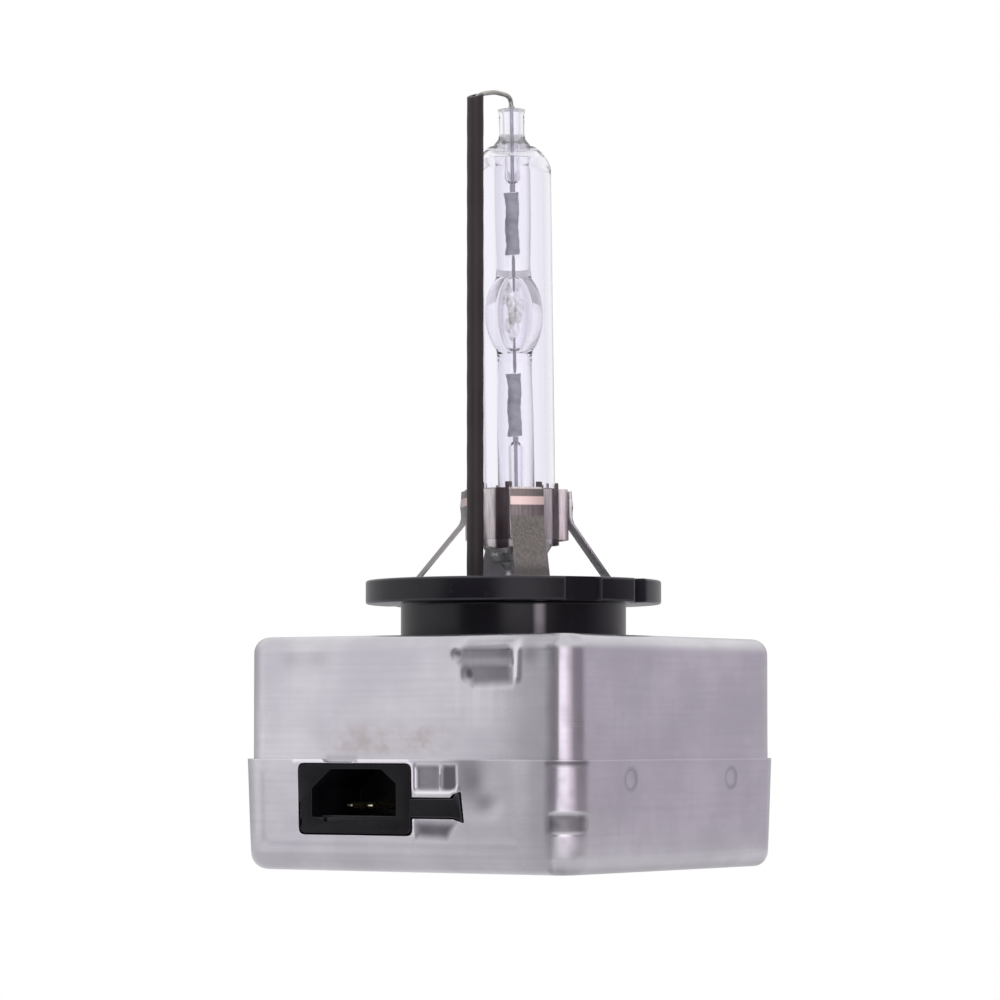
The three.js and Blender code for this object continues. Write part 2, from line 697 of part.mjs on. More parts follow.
function windingRoom(i, outer) {
  const starts = bobbinFlanges();
  const from = starts[i] + BOBBIN.wall + CLEARANCE;
  const to = starts[i + 1] - CLEARANCE;
  return alongX(tube(outer, BOBBIN.radius + 0.06, from, to, 24), TRANSFORMER.y, TRANSFORMER.z);
}

function sparkGapBody() {
  return alongX(rod(3.3, -2.6, 2.6, 20), 0, 0);
}

function sparkGapCap(side) {
  const profile = [[0, 2.7], [3.6, 2.7], [3.6, 3.6], [1.2, 3.9], [0.5, 3.9], [0.5, 4.8], [0, 4.8]];
  const cap = turned(profile, 20);
  return alongX(side < 0 ? cap.rotateX(Math.PI) : cap, 0, 0);
}

function capacitor() {
  const legs = [-10.5, -5.5].map((x) => block([x - 0.3, x + 0.3], [-6.6, -6.0], [3.0, 12.0]));
  return join(block([-14.4, -1.8], [-16.0, -5.6], [11.4, 20.4]), ...legs);
}

function resistor() {
  const body = [[0, -6], [0.35, -6], [0.35, -3.6], [1.3, -3.4], [1.5, -2.6], [1.3, -1.8]];
  const mirrored = body.map(([radius, z]) => [radius, -z]).reverse();
  return alongX(turned([...body, ...mirrored], SMALL_STEPS), 0, 0);
}

function highVoltageLink() {
  const x = -BOBBIN.half - 0.9;
  return join(
    block([x - 0.4, x], [-0.4, TRANSFORMER.y], [16.9, 17.5]),
    block([x - 0.4, -1.5], [-0.4, 0.4], [16.9, 17.5]),
    block([x - 0.4, x], [TRANSFORMER.y - 0.5, TRANSFORMER.y], [11.6, 17.5]),
  );
}

function returnStrip() {
  return join(
    tube(1.2, WIRE_RADIUS + 0.05, 18.6, 21.0, SMALL_STEPS).translate(0, RETURN_Y, 0),
    block([0.9, 3.2], [RETURN_Y - 0.4, RETURN_Y + 0.4], [18.7, 19.2]),
    block([2.8, 3.2], [RETURN_Y - 0.4, RETURN_Y + 0.4], [3.0, 19.2]),
  );
}

add("carrier_plate", roundedStack([
  { z: CARRIER.bottom, half: CARRIER.half, corner: 1.5 },
  { z: CARRIER.top, half: CARRIER.half, corner: 1.5 },
]), boardGreen);
add("transformer_core", transformerCore(), ferrite);
add("transformer_bobbin", bobbin(), whiteCeramic);
[0, 1, 2, 3].forEach((i) => add(`secondary_winding_${i + 1}`, windingRoom(i, 7.0), enamelledWire));
add("primary_winding", windingRoom(4, 6.2), copper);
add("spark_gap_body", sparkGapBody(), whiteCeramic, { x: 10.2, y: -11.2, z: 6.6 });
add("spark_gap_cap_left", sparkGapCap(-1), nickel, { x: 10.2, y: -11.2, z: 6.6 });
add("spark_gap_cap_right", sparkGapCap(1), nickel, { x: 10.2, y: -11.2, z: 6.6 });
add("ignition_capacitor", capacitor(), filmYellow);
add("bleed_resistor", resistor(), resistorBlue, { x: 10.2, y: -3.5, z: 4.5 });
add("high_voltage_terminal", tube(1.3, WIRE_RADIUS + 0.05, 16.4, 20.8, SMALL_STEPS), nickel);
add("high_voltage_link", highVoltageLink(), copper);
add("return_terminal", returnStrip(), copper);

export default lamp;
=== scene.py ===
"""The looks of a gas-discharge headlight bulb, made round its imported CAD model.

Outlines are in millimetres and in the CAD model's own frame: +Z up the lamp's axis, the
connector on the -Y face. Every mesh is brought to metres when its object is made.
"""

import math

import bmesh
import bpy
import numpy as np
from mathutils import Matrix, Vector


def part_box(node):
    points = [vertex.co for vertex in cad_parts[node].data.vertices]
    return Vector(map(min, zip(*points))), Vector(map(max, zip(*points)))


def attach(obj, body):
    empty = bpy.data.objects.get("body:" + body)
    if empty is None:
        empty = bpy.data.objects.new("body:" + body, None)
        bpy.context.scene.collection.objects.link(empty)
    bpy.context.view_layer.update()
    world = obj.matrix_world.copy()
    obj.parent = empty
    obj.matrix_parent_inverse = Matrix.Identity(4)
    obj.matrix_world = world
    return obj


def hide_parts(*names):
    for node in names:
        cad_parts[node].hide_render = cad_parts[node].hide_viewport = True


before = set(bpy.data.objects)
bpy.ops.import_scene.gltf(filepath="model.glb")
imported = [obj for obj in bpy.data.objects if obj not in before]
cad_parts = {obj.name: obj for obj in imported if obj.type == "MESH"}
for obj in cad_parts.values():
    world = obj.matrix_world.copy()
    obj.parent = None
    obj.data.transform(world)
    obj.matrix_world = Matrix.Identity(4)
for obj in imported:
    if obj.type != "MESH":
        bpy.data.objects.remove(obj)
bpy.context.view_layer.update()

MM = 0.001
scene = bpy.context.scene

# ------------------------------------------------------------------ material tools


def operator(operation, reflected=False):
    """A method that joins a signal and its other operand in a Math node."""

    def method(self, other):
        ends = (other, self) if reflected else (self, other)
        return self.graph.maths(operation, *ends)

    return method


class Signal:
    """An output in a node tree. Sums written on it become Math nodes."""

    __add__, __radd__ = operator("ADD"), operator("ADD", True)
    __sub__, __rsub__ = operator("SUBTRACT"), operator("SUBTRACT", True)
    __mul__, __rmul__ = operator("MULTIPLY"), operator("MULTIPLY", True)
    __truediv__, __rtruediv__ = operator("DIVIDE"), operator("DIVIDE", True)
    most = operator("MAXIMUM")

    def __init__(self, graph, socket):
        self.graph = graph
        self.socket = socket

    def __abs__(self):
        return self.graph.maths("ABSOLUTE", self)

    def step(self, low, high):
        """Rises smoothly from 0 at low to 1 at high. It falls where high is the smaller."""
        if low > high:
            return 1 - self.step(high, low)
        ramp = {"From Min": low, "From Max": high, "Value": self}
        return self.graph.node("ShaderNodeMapRange", {"interpolation_type": "SMOOTHSTEP"}, ramp)


class Graph:
    """A node tree, with one method that adds any node."""

    def __init__(self, tree):
        self.tree = tree

    def node(self, kind, settings=None, inputs=None, output=0):
        made = self.tree.nodes.new(kind)
        for key, value in (settings or {}).items():
            if key == "stops":
                self._stops(made.color_ramp, value)
            else:
                setattr(made, key, value)
        for key, value in (inputs or {}).items():
            self.put(made.inputs[key], value)
        return Signal(self, made.outputs[output])

    def _stops(self, ramp, stops):
        while len(ramp.elements) < len(stops):
            ramp.elements.new(0.5)
        for element, (position, colour) in zip(ramp.elements, stops):
            element.position = position
            element.color = (*colour, 1.0)

    def put(self, socket, value):
        if isinstance(value, Signal):
            self.tree.links.new(value.socket, socket)
        else:
            socket.default_value = value

    def maths(self, operation, *operands):
        return self.node("ShaderNodeMath", {"operation": operation}, dict(enumerate(operands)))

    def reach(self, x, y):
        """The distance from the lamp's axis."""
        return self.maths("SQRT", x * x + y * y)

    def azimuth(self, x, y):
        """The direction from the lamp's axis in radians, from -Y towards +X."""
        return self.maths("ARCTAN2", x, 0 - y)

    def split(self, vector):
        parts = self.node("ShaderNodeSeparateXYZ", None, {0: vector}).socket.node
        return [Signal(self, output) for output in parts.outputs]

    def mix(self, share, first, second):
        """A colour between two colours."""
        ends = [c if isinstance(c, Signal) else (*c, 1.0) for c in (first, second)]
        inputs = {0: share, 6: ends[0], 7: ends[1]}
        return self.node("ShaderNodeMix", {"data_type": "RGBA"}, inputs, output=2)

    def layers(self, colour, *coats):
        """A colour with others laid over it, each given as its share and its own colour."""
        for share, coat in coats:
            colour = self.mix(share, colour, coat)
        return colour


class Finish(Graph):
    """A material on one Principled shader. Its constants are set on the shader's own sockets."""

    def __init__(self, name, **constants):
        self.material = bpy.data.materials.new(name)
        self.material.use_nodes = True
        super().__init__(self.material.node_tree)
        self.shader = self.tree.nodes["Principled BSDF"]
        self.set(**constants)
        self.place = self.node("ShaderNodeTexCoord", output="Object")

    def axes(self):
        """X, Y and Z in millimetres."""
        return [part / MM for part in self.split(self.place)]

    def attribute(self, name):
        return self.node("ShaderNodeAttribute", {"attribute_name": name}, output="Fac")

    def pattern(self, kind, size, stretch=(1, 1, 1), shift=(0, 0, 0), **sockets):
        """A texture whose patches are about that many millimetres wide."""
        mapping = {"Vector": self.place, "Scale": stretch, "Location": shift}
        place = self.node("ShaderNodeMapping", None, mapping)
        return self.node(kind, None, {"Vector": place, "Scale": 1 / (size * MM), **sockets})

    def noise(self, size, detail=3.0, rough=0.5, **place):
        """Noise from 0 to 1."""
        return self.pattern("ShaderNodeTexNoise", size, Detail=detail, Roughness=rough, **place)

    def flecks(self, size):
        """Distance from the nearest of many scattered points."""
        return self.pattern("ShaderNodeTexVoronoi", size)

    def set(self, **sockets):
        for socket, value in sockets.items():
            self.put(self.shader.inputs[socket.replace("_", " ")], value)

    def done(self, colour, rough, height, depth, strength, **more):
        """The material, with what varies over it. Its height of 0 to 1 is depth mm deep."""
        inputs = {"Height": height, "Distance": depth * MM, "Strength": strength}
        bump = self.node("ShaderNodeBump", None, inputs)
        self.set(Base_Color=colour, Roughness=rough, Normal=bump, **more)
        return self.material


def shaded(colour, share, lift=0.0):
    """A colour made lighter or darker, up to white."""
    return tuple(min(1.0, share * c + lift) for c in colour)


# ------------------------------------------------------------------ materials


def tinned_sheet(name, stained):
    """Tin-plated steel sheet: faint rolling lines, cloudy plating, stains and a few scuffs.

    The mesh's tone attribute paints shade on the sheet above 0, making it darker and duller,
    and paints a highlight on it below 0, making it brighter.
    """
    finish = Finish(name, Metallic=0.92, Specular_IOR_Level=0.5, IOR=1.6)
    cloud = finish.noise(9.0, 4.0, 0.55)
    patches = finish.noise(2.6, shift=(0.03, 0.01, 0.02))
    rolling = finish.noise(0.5, 2.0, 0.6, stretch=(0.03, 0.03, 1.0))
    upright = finish.noise(0.8, stretch=(1.0, 1.0, 0.06))
    scuff = finish.noise(0.9, 2.0, stretch=(0.15, 0.15, 1.0), shift=(0.3, 0.2, 0.0))
    grain = finish.noise(0.12, 2.0, 0.6)
    tone = finish.attribute("tone")
    # painted shade: the part of tone above 0
    painted_shade = tone.most(0)
    colour = finish.layers(
        (0.465, 0.455, 0.488),
        (cloud.step(0.3, 0.7), (0.56, 0.55, 0.58)),
        (patches.step(0.45, 0.75) * 0.3, (0.50, 0.48, 0.50)),
        (rolling.step(0.35, 0.75) * 0.16, (0.38, 0.37, 0.41)),
        (upright.step(0.5, 0.8) * 0.14, (0.40, 0.395, 0.43)),
    )
    if stained:
        x, y, z = finish.axes()
        front = y.step(-19.0, -19.4)
        patch = x.step(-11.5, -4.5) * x.step(8.0, 2.5) * z.step(11.0, 12.2) * z.step(15.6, 12.8)
        mottled = finish.noise(1.9, 5.0, 0.62).step(0.36, 0.66)
        streaks = front * x.step(5.0, 7.5) * x.step(15.0, 13.0) * z.step(13.0, 17.5)
        colour = finish.layers(
            colour,
            (front * patch * (mottled * 0.45 + 0.15), (0.34, 0.29, 0.27)),
            (streaks * upright.step(0.4, 0.65) * 0.3, (0.66, 0.66, 0.70)),
        )
    colour = finish.layers(
        colour,
        # painted shade where tone is above 0
        (painted_shade * (patches * 0.5 + 0.75), (0.13, 0.125, 0.14)),
        # painted highlight where tone is below 0, with real wear on sharp edges
        ((0 - tone).most(0) + finish.attribute("wear") * 0.4, (0.80, 0.78, 0.82)),
    )
    # painted shade also makes the sheet rougher
    rough = 0.17 + cloud * 0.05 + rolling * 0.03 + scuff.step(0.66, 0.74) * 0.06 + painted_shade * 0.30
    return finish.done(colour, rough, rolling * 0.6 + grain * 0.4, 0.003, 0.4)


def moulded_black(name, tint, gloss, level, parting=None):
    """Black thermoplastic with a fine spark-eroded grain, dusty in its hollows, rubbed on its
    edges. parting is the direction in degrees, from -Y towards +X, of a polished mould line.
    """
    finish = Finish(name, Specular_IOR_Level=level, IOR=1.52, Coat_Roughness=0.12, Coat_IOR=2.3)
    cloud = finish.noise(5.0, 3.0, 0.55)
    dust = finish.noise(0.7, 4.0, 0.65).step(0.55, 0.8)
    wear = finish.attribute("wear")
    colour = finish.layers(
        shaded(tint, 0.7),
        (cloud.step(0.3, 0.7), shaded(tint, 1.5)),
        (dust * 0.2, (0.035, 0.034, 0.038)),
        (wear * 0.5, (0.07, 0.07, 0.085)),
    )
    if parting is not None:
        x, y, z = finish.axes()
        away = abs(finish.azimuth(x, y) * (180 / math.pi) - parting)
        polish = away.step(4.2, 0.6) * z.step(26.5, 26.3) * (cloud * 0.3 + 0.7)
        finish.set(Coat_Weight=polish)
    rough = gloss + cloud * 0.08 + dust * 0.10 - wear * 0.05
    return finish.done(colour, rough, finish.flecks(0.16) + cloud * 0.5, 0.004, 0.5)


def brushed_strip(name, base, lines, darkened_within=0.0, painted_highlight_band=None):
    """Spring steel strip, brushed along the lamp's axis and tinted by the heat of the welds.

    Closer to the axis than the given reach it is darkened: a faint dark oxide of metal pressed
    on hot glass all round, with painted shade over it on the front, right and left sides and on
    the tabs.
    Between the two given levels it carries a painted highlight, where its bent top faces the
    light from above. There the tone attribute is 1 on the pale side that faces the burner,
    and the other side gets painted shade towards the foot, where the leg meets the cap.
    """
    finish = Finish(name, Metallic=1.0, IOR=1.6, Specular_IOR_Level=0.3)
    brushing = finish.noise(0.22, 2.0, 0.6, stretch=lines)
    cloud = finish.noise(2.4, 3.0, 0.55)
    wear = finish.attribute("wear")
    x, y, z = finish.axes()
    heated = (base[0] * 1.1, base[1] * 0.92, base[2] * 0.78)
    colour = finish.layers(
        base,
        (brushing.step(0.3, 0.7) * 0.8, shaded(base, 0.62)),
        (cloud.step(0.5, 0.8) * 0.5, heated),
        (wear * 0.6, (0.74, 0.70, 0.68)),
    )
    rough = 0.24 + brushing * 0.12 + cloud * 0.06 - wear * 0.06
    if darkened_within:
        # painted shade on the front, right and left sides and on the tabs; elsewhere within reach
        # only a faint real dark oxide
        front = x.step(0.45, 0.72) * x.step(2.05, 1.85) * y.step(-3.0, -3.4)
        right = x.step(2.2, 2.9) * y.step(0.0, 0.35)
        left = (0 - x).step(2.2, 2.9)
        side = front.most(right).most(left).most(z.step(38.15, 38.3)) * 0.9 + 0.1
        oxide_and_shade = finish.reach(x, y).step(darkened_within, darkened_within - 0.12) * side
        colour = finish.mix(oxide_and_shade * (0.8 + cloud * 0.2), colour, (0.050, 0.030, 0.038))
        rough = rough + oxide_and_shade * 0.12
    if painted_highlight_band:
        low, high = painted_highlight_band
        # painted highlight: a pale band where the bent top faces the light from above
        painted_highlight = z.step(low, low + 0.12) * z.step(high, high - 0.12)
        inside = finish.attribute("tone")
        colour = finish.layers(
            colour,
            # the painted highlight's colour
            (painted_highlight * 0.85, (0.70, 0.56, 0.52)),
            (inside * 0.9, (0.86, 0.85, 0.90)),
            # painted shade: darker towards the foot on the outer side, where the leg meets the cap
            (z.step(30.7, 29.6) * (1 - inside) * 0.6, (0.05, 0.045, 0.047)),
        )
        rough = rough + inside * 0.25
        finish.set(Metallic=1 - inside * 0.95)
    return finish.done(colour, rough, brushing, 0.010, 0.6)


def fine_metal(name, base, low_rough, grain_size=0.08):
    """Drawn or rolled metal with a fine grain and a cloudy skin."""
    finish = Finish(name, Metallic=1.0, IOR=1.6)
    grain = finish.noise(grain_size, 3.0, 0.6)
    cloud = finish.noise(1.3)
    colour = finish.layers(
        base,
        (cloud.step(0.35, 0.7) * 0.6, shaded(base, 0.55)),
        (grain.step(0.55, 0.8) * 0.4, shaded(base, 0.55)),
        (finish.attribute("wear") * 0.4, shaded(base, 1.3)),
    )
    return finish.done(colour, low_rough + grain * 0.14 + cloud * 0.10, grain, 0.006, 0.6)


def quartz(name, tint, frosted):
    """Clear quartz, slightly wavy, frosted where it was melted shut.

    frosted gives the height, the reach and the strength of the frost at each melted end.
    """
    finish = Finish(name, IOR=1.458, Transmission_Weight=1.0)
    z = finish.axes()[2]
    waves = finish.noise(1.8, 2.0, 0.4, stretch=(1.0, 1.0, 0.25))
    specks = finish.flecks(1.1).step(0.10, 0.04)
    seeds = finish.noise(0.5, 2.0).step(0.60, 0.72)
    low, high = (abs(z - at).step(reach, reach * 0.3) * weight for at, reach, weight in frosted)
    frost = low.most(high)
    mottled = finish.noise(0.45, 4.0, 0.65)
    melted = frost * (mottled.step(0.3, 0.6) * 0.5 + 0.5)
    colour = finish.mix(specks * seeds * 0.4, tint, (0.78, 0.78, 0.84))
    colour = finish.mix(melted * 0.7, colour, (1.0, 1.0, 1.0))
    height = waves + frost * mottled * 0.5
    return finish.done(colour, 0.012 + melted * 0.45, height, 0.018, 0.5)


def dark_ceramic(name):
    """Unglazed dark brown ceramic with a dry, pitted skin and lighter rubbed spots."""
    finish = Finish(name, Specular_IOR_Level=0.25, IOR=1.55)
    cloud = finish.noise(2.6, 4.0, 0.6, stretch=(1.0, 1.0, 0.3))
    pits = finish.flecks(0.22).step(0.0, 0.5)
    wear = finish.attribute("wear")
    colour = finish.layers(
        (0.011, 0.008, 0.009),
        (cloud.step(0.3, 0.7), (0.024, 0.017, 0.017)),
        (finish.noise(0.25, 3.0, 0.6).step(0.58, 0.72) * 0.3, (0.040, 0.030, 0.029)),
        (wear * 0.4, (0.07, 0.055, 0.055)),
    )
    rough = 0.44 + cloud * 0.16 - wear * 0.05
    return finish.done(colour, rough, pits * 0.7 + cloud * 0.3, 0.012, 0.5)


def dull_solid(name, first, second, rough, patch=1.2, film=False):
    """A matt, slightly mottled solid. Light comes through a film of it."""
    finish = Finish(name, Specular_IOR_Level=0.4, IOR=1.5)
    cloud = finish.noise(patch, 4.0, 0.6)
    grain = finish.noise(patch * 0.12, 3.0, 0.6)
    colour = finish.layers(
        first,
        (cloud.step(0.3, 0.7), second),
        (finish.attribute("wear") * 0.3, shaded(second, 1.25, 0.03)),
    )
    if film:
        finish.set(Alpha=0.06 + cloud.step(0.35, 0.7) * 0.22)
    height = grain * 0.6 + cloud * 0.4
    return finish.done(colour, rough + grain * 0.15, height, 0.02, 0.6)


def wound_wire(name, first, second):
    """Enamelled copper wire, with varnish that is thicker in some places."""
    finish = Finish(name, Metallic=0.75, IOR=1.55, Coat_Roughness=0.2)
    cloud = finish.noise(1.5)
    varnish = finish.noise(0.6, 3.0, 0.6, shift=(0.05, 0.0, 0.0))
    colour = finish.mix(cloud.step(0.3, 0.7), first, second)
    finish.set(Coat_Weight=varnish.step(0.3, 0.8) * 0.6)
    return finish.done(colour, 0.28 + cloud * 0.12, varnish, 0.01, 0.4)


can_sheet = tinned_sheet("can_sheet", stained=True)
cover_sheet = tinned_sheet("cover_sheet", stained=False)
cap_black = moulded_black("cap_black", (0.0040, 0.0038, 0.0062), 0.17, 0.24, parting=47.0)
plug_black = moulded_black("plug_black", (0.0045, 0.0040, 0.0055), 0.34, 0.12)
case_black = moulded_black("case_black", (0.012, 0.012, 0.014), 0.48, 0.3)
# the legs get a painted highlight on their bent tops
leg_strip = brushed_strip(
    "leg_strip", (0.175, 0.158, 0.154), (1.0, 1.0, 0.06), painted_highlight_band=(36.42, 37.38)
)
# the band gets painted shade on its sides close to the glass
band_strip = brushed_strip(
    "band_strip", (0.62, 0.58, 0.59), (1.0, 1.0, 0.10), darkened_within=4.72
)
OUTER_FROST = [(31.4, 2.2, 1.0), (72.4, 1.6, 0.12)]
INNER_FROST = [(30.6, 2.6, 1.0), (73.9, 1.2, 0.4)]
outer_quartz = quartz("outer_quartz", (0.962, 0.954, 0.992), OUTER_FROST)
inner_quartz = quartz("inner_quartz", (0.97, 0.963, 0.995), INNER_FROST)
brown_ceramic = dark_ceramic("brown_ceramic")
nickel = fine_metal("nickel", (0.40, 0.40, 0.37), 0.30)
molybdenum = fine_metal("molybdenum", (0.46, 0.46, 0.51), 0.38, 0.34)
lead_metal = fine_metal("lead_metal", (0.52, 0.51, 0.58), 0.42, 0.16)
tungsten = fine_metal("tungsten", (0.42, 0.42, 0.46), 0.42)
pin_plating = fine_metal("pin_plating", (0.86, 0.74, 0.52), 0.22)
copper = fine_metal("copper", (0.80, 0.42, 0.26), 0.26)
salt = dull_solid("salt", (0.96, 0.86, 0.55), (1.0, 0.96, 0.80), 0.6, 0.5, film=True)
enamelled = wound_wire("enamelled", (0.36, 0.12, 0.045), (0.50, 0.20, 0.08))
ferrite = dull_solid("ferrite", (0.035, 0.035, 0.04), (0.06, 0.058, 0.062), 0.5, 0.8)
white_ceramic = dull_solid("white_ceramic", (0.70, 0.67, 0.60), (0.82, 0.80, 0.74), 0.45, 1.0)
bobbin_moulding = dull_solid(
    "bobbin_moulding", (0.60, 0.55, 0.44), (0.70, 0.66, 0.55), 0.42, 2.5
)
board_resin = dull_solid("board_resin", (0.02, 0.09, 0.04), (0.035, 0.14, 0.06), 0.35, 1.5)
dipped_yellow = dull_solid("dipped_yellow", (0.45, 0.26, 0.04), (0.58, 0.36, 0.07), 0.25, 1.8)
blue_lacquer = dull_solid("blue_lacquer", (0.07, 0.20, 0.32), (0.12, 0.28, 0.42), 0.3, 0.9)


# ------------------------------------------------------------------ mesh tools


def extent(node):
    """A CAD node's lowest and highest corner, in millimetres."""
    low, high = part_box(node)
    return low / MM, high / MM


def new_mesh(name, points, faces, edges=()):
    mesh = bpy.data.meshes.new(name)
    mesh.from_pydata([tuple(p) for p in points], list(edges), faces)
    return mesh


def from_bmesh(name, built, outward=True):
    if outward:
        bmesh.ops.recalc_face_normals(built, faces=built.faces)
    mesh = bpy.data.meshes.new(name)
    built.to_mesh(mesh)
    built.free()
    return mesh


def joined(name, *meshes, outward=True):
    built = bmesh.new()
    for mesh in meshes:
        built.from_mesh(mesh)
    return from_bmesh(name, built, outward)


def solid(name, points, faces):
    """A mesh whose faces are turned outwards."""
    return joined(name, new_mesh(name, points, faces))


def write_attribute(mesh, name, values):
    attribute = mesh.attributes.new(name, "FLOAT", "POINT")
    attribute.data.foreach_set("value", values.astype(np.float32))


def mark_wear(mesh):
    """Writes an attribute that is 1 on sharp outward edges and 0 on flats and in hollows."""
    built = bmesh.new()
    built.from_mesh(mesh)
    built.normal_update()
    edge_bend = np.zeros(len(built.verts))
    for edge in built.edges:
        if len(edge.link_faces) != 2:
            continue
        angle = edge.calc_face_angle_signed(0.0)
        if angle <= 0.02:
            continue
        first, second = edge.link_faces
        across = (first.calc_center_median() - second.calc_center_median()).length
        for vert in edge.verts:
            edge_bend[vert.index] = max(edge_bend[vert.index], angle / max(across, 0.05))
    built.free()
    write_attribute(mesh, "wear", np.clip((edge_bend - 0.5) / 1.5, 0, 1))


def write_tone(mesh, tone_of):
    """Writes the tone attribute from a function of the mesh's points."""
    points = np.zeros(len(mesh.vertices) * 3)
    mesh.vertices.foreach_get("co", points)
    write_attribute(mesh, "tone", tone_of(points.reshape(-1, 3)))


# The burner leans: its middle line moves sideways by LEAN for each millimetre of height,
# and LEAN_FREE_Z is the height where it crosses the lamp's axis.
LEAN = 0.0125
LEAN_FREE_Z = 62.0
LEAN_FADE = 6.0
LEAN_X, LEAN_Y = 0.83, 0.556


def lean_at(z):
    return (LEAN_FREE_Z - z) * LEAN


def leaned(mesh, foot=None):
    """The mesh with the burner's lean. It fades in above the foot, where there is one."""
    for vert in mesh.vertices:
        shift = lean_at(vert.co.z)
        if foot is not None:
            shift *= min(1.0, max(0.0, (vert.co.z - foot) / LEAN_FADE))
        vert.co.x += shift * LEAN_X
        vert.co.y += shift * LEAN_Y
    return mesh


def place_piece(name, mesh, material, nodes, sharp):
    """Turns a mesh in millimetres into a piece of the object that stands for its CAD nodes."""
    mark_wear(mesh)
    mesh.transform(Matrix.Scale(MM, 4))
    mesh.materials.clear()
    mesh.materials.append(material)
    mesh.shade_smooth()
    mesh.set_sharp_from_angle(angle=math.radians(sharp))
    piece = bpy.data.objects.new(name, mesh)
    scene.collection.objects.link(piece)
    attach(piece, "root")
    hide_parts(*nodes)


def baked(mesh, *modifiers):
    """The mesh after modifiers: each a kind, its settings, and a node tree's named inputs."""
    holder = bpy.data.objects.new("holder", mesh)
    scene.collection.objects.link(holder)
    for kind, settings, inputs in modifiers:
        modifier = holder.modifiers.new(kind.lower(), kind)
        for key, value in settings.items():
            setattr(modifier, key, value)
        for item in modifier.node_group.interface.items_tree if inputs else ():
            if item.item_type == "SOCKET" and item.in_out == "INPUT" and item.name in inputs:
                modifier[item.identifier] = inputs[item.name]
    graph = bpy.context.evaluated_depsgraph_get()
    result = bpy.data.meshes.new_from_object(holder.evaluated_get(graph))
    bpy.data.objects.remove(holder)
    return result


def carved(mesh, *cutters):
    """The mesh with other closed meshes cut away."""
    tools = [bpy.data.objects.new("cutter", cutter) for cutter in cutters]
    bites = []
    for tool in tools:
        scene.collection.objects.link(tool)
        settings = {"operation": "DIFFERENCE", "solver": "EXACT", "object": tool}
        bites.append(("BOOLEAN", settings, {}))
    result = baked(mesh, *bites)
    for tool in tools:
        bpy.data.objects.remove(tool)
    return result


def bevelled(mesh, width, segments, angle):
    settings = {"width": width, "segments": segments, "limit_method": "ANGLE"}
    return baked(mesh, ("BEVEL", {**settings, "angle_limit": math.radians(angle)}, {}))


def turned_by(mesh, degrees):
    """The mesh turned about the lamp's axis."""
    mesh.transform(Matrix.Rotation(math.radians(degrees), 4, "Z"))
    return mesh


def eased(points, radius, closed=True, steps=4):
    """An outline with each corner rounded. A list of radii rounds each corner by its own."""
    radii = radius if isinstance(radius, list) else [radius] * len(points)
    corners = [Vector(p) for p in points]
    result = []
    for i, corner in enumerate(corners):
        if radii[i] <= 0 or (not closed and i in (0, len(corners) - 1)):
            result.append(tuple(corner))
            continue
        back = corners[i - 1] - corner
        ahead = corners[(i + 1) % len(corners)] - corner
        reach = radii[i] / max(math.tan(back.angle(ahead) / 2), 0.05)
        reach = min(reach, 0.48 * back.length, 0.48 * ahead.length)
        start = corner + back.normalized() * reach
        end = corner + ahead.normalized() * reach
        for k in range(steps + 1):
            t = k / steps
            result.append(tuple(start * (1 - t) ** 2 + corner * 2 * t * (1 - t) + end * t * t))
    return result


def rectangle(u, v, ease=0.0):
    """A rounded rectangle from u[0], v[0] to u[1], v[1]."""
    return eased([(u[0], v[0]), (u[1], v[0]), (u[1], v[1]), (u[0], v[1])], ease, steps=2)


def turned(name, profile, steps, rim=None):
    """A profile of (radius, z) turned about the axis. It closes on itself or ends on the axis.

    rim(angles, radius, z) may give other radii round the turn.
    """
    angles = np.linspace(0, 2 * math.pi, steps, endpoint=False)
    built = bmesh.new()
    rings = []
    for radius, z in profile:
        if radius < 1e-6:
            rings.append([built.verts.new((0, 0, z))])
            continue
        radii = rim(angles, radius, z) if rim else [radius] * steps
        ring = [(r * math.cos(a), r * math.sin(a), z) for a, r in zip(angles, radii)]
        rings.append([built.verts.new(point) for point in ring])
    pairs = list(zip(rings, rings[1:]))
    if len(rings[0]) > 1:
        pairs.append((rings[-1], rings[0]))
    for low, high in pairs:
        for k in range(steps):
            ahead = (k + 1) % steps
            corners = [low[k % len(low)], low[ahead % len(low)]]
            corners += [high[ahead % len(high)], high[k % len(high)]]
            built.faces.new(list(dict.fromkeys(corners)))
    return from_bmesh(name, built)


def grid_faces(levels, count, ends_meet):
    """Faces between rings of points, and between the last ring and the first if they meet."""
    faces = []
    for level in range(levels if ends_meet else levels - 1):
        low, high = level * count, (level + 1) % levels * count
        for i in range(count):
            ahead = (i + 1) % count
            faces.append([low + i, low + ahead, high + ahead, high + i])
    return faces


def raised(name, outline, low, high, axis="Z"):
    """A flat outline carried from low to high along an axis. It lies in the other two axes."""
    order = {"X": (2, 0, 1), "Y": (0, 2, 1), "Z": (0, 1, 2)}[axis]
    count = len(outline)
    rows = [(u, v, level) for level in (low, high) for u, v in outline]
    points = [[row[i] for i in order] for row in rows]
    faces = grid_faces(2, count, False)
    faces += [list(range(count))[::-1], list(range(count, 2 * count))]
    return solid(name, points, faces)


def ribbon(name, path, section):
    """A closed path in X and Y with a section of (offset outwards, z) carried round it."""
    path = np.array(path)
    ahead = np.roll(path, -1, axis=0) - path
    behind = path - np.roll(path, 1, axis=0)
    along = ahead / np.linalg.norm(ahead, axis=1)[:, None]
    along += behind / np.linalg.norm(behind, axis=1)[:, None]
    along /= np.linalg.norm(along, axis=1)[:, None]
    outward = np.stack([along[:, 1], -along[:, 0]], axis=1)
    points = []
    for (x, y), (nx, ny) in zip(path, outward):
        points += [(x + nx * offset, y + ny * offset, z) for offset, z in section]
    return solid(name, points, grid_faces(len(path), len(section), True))


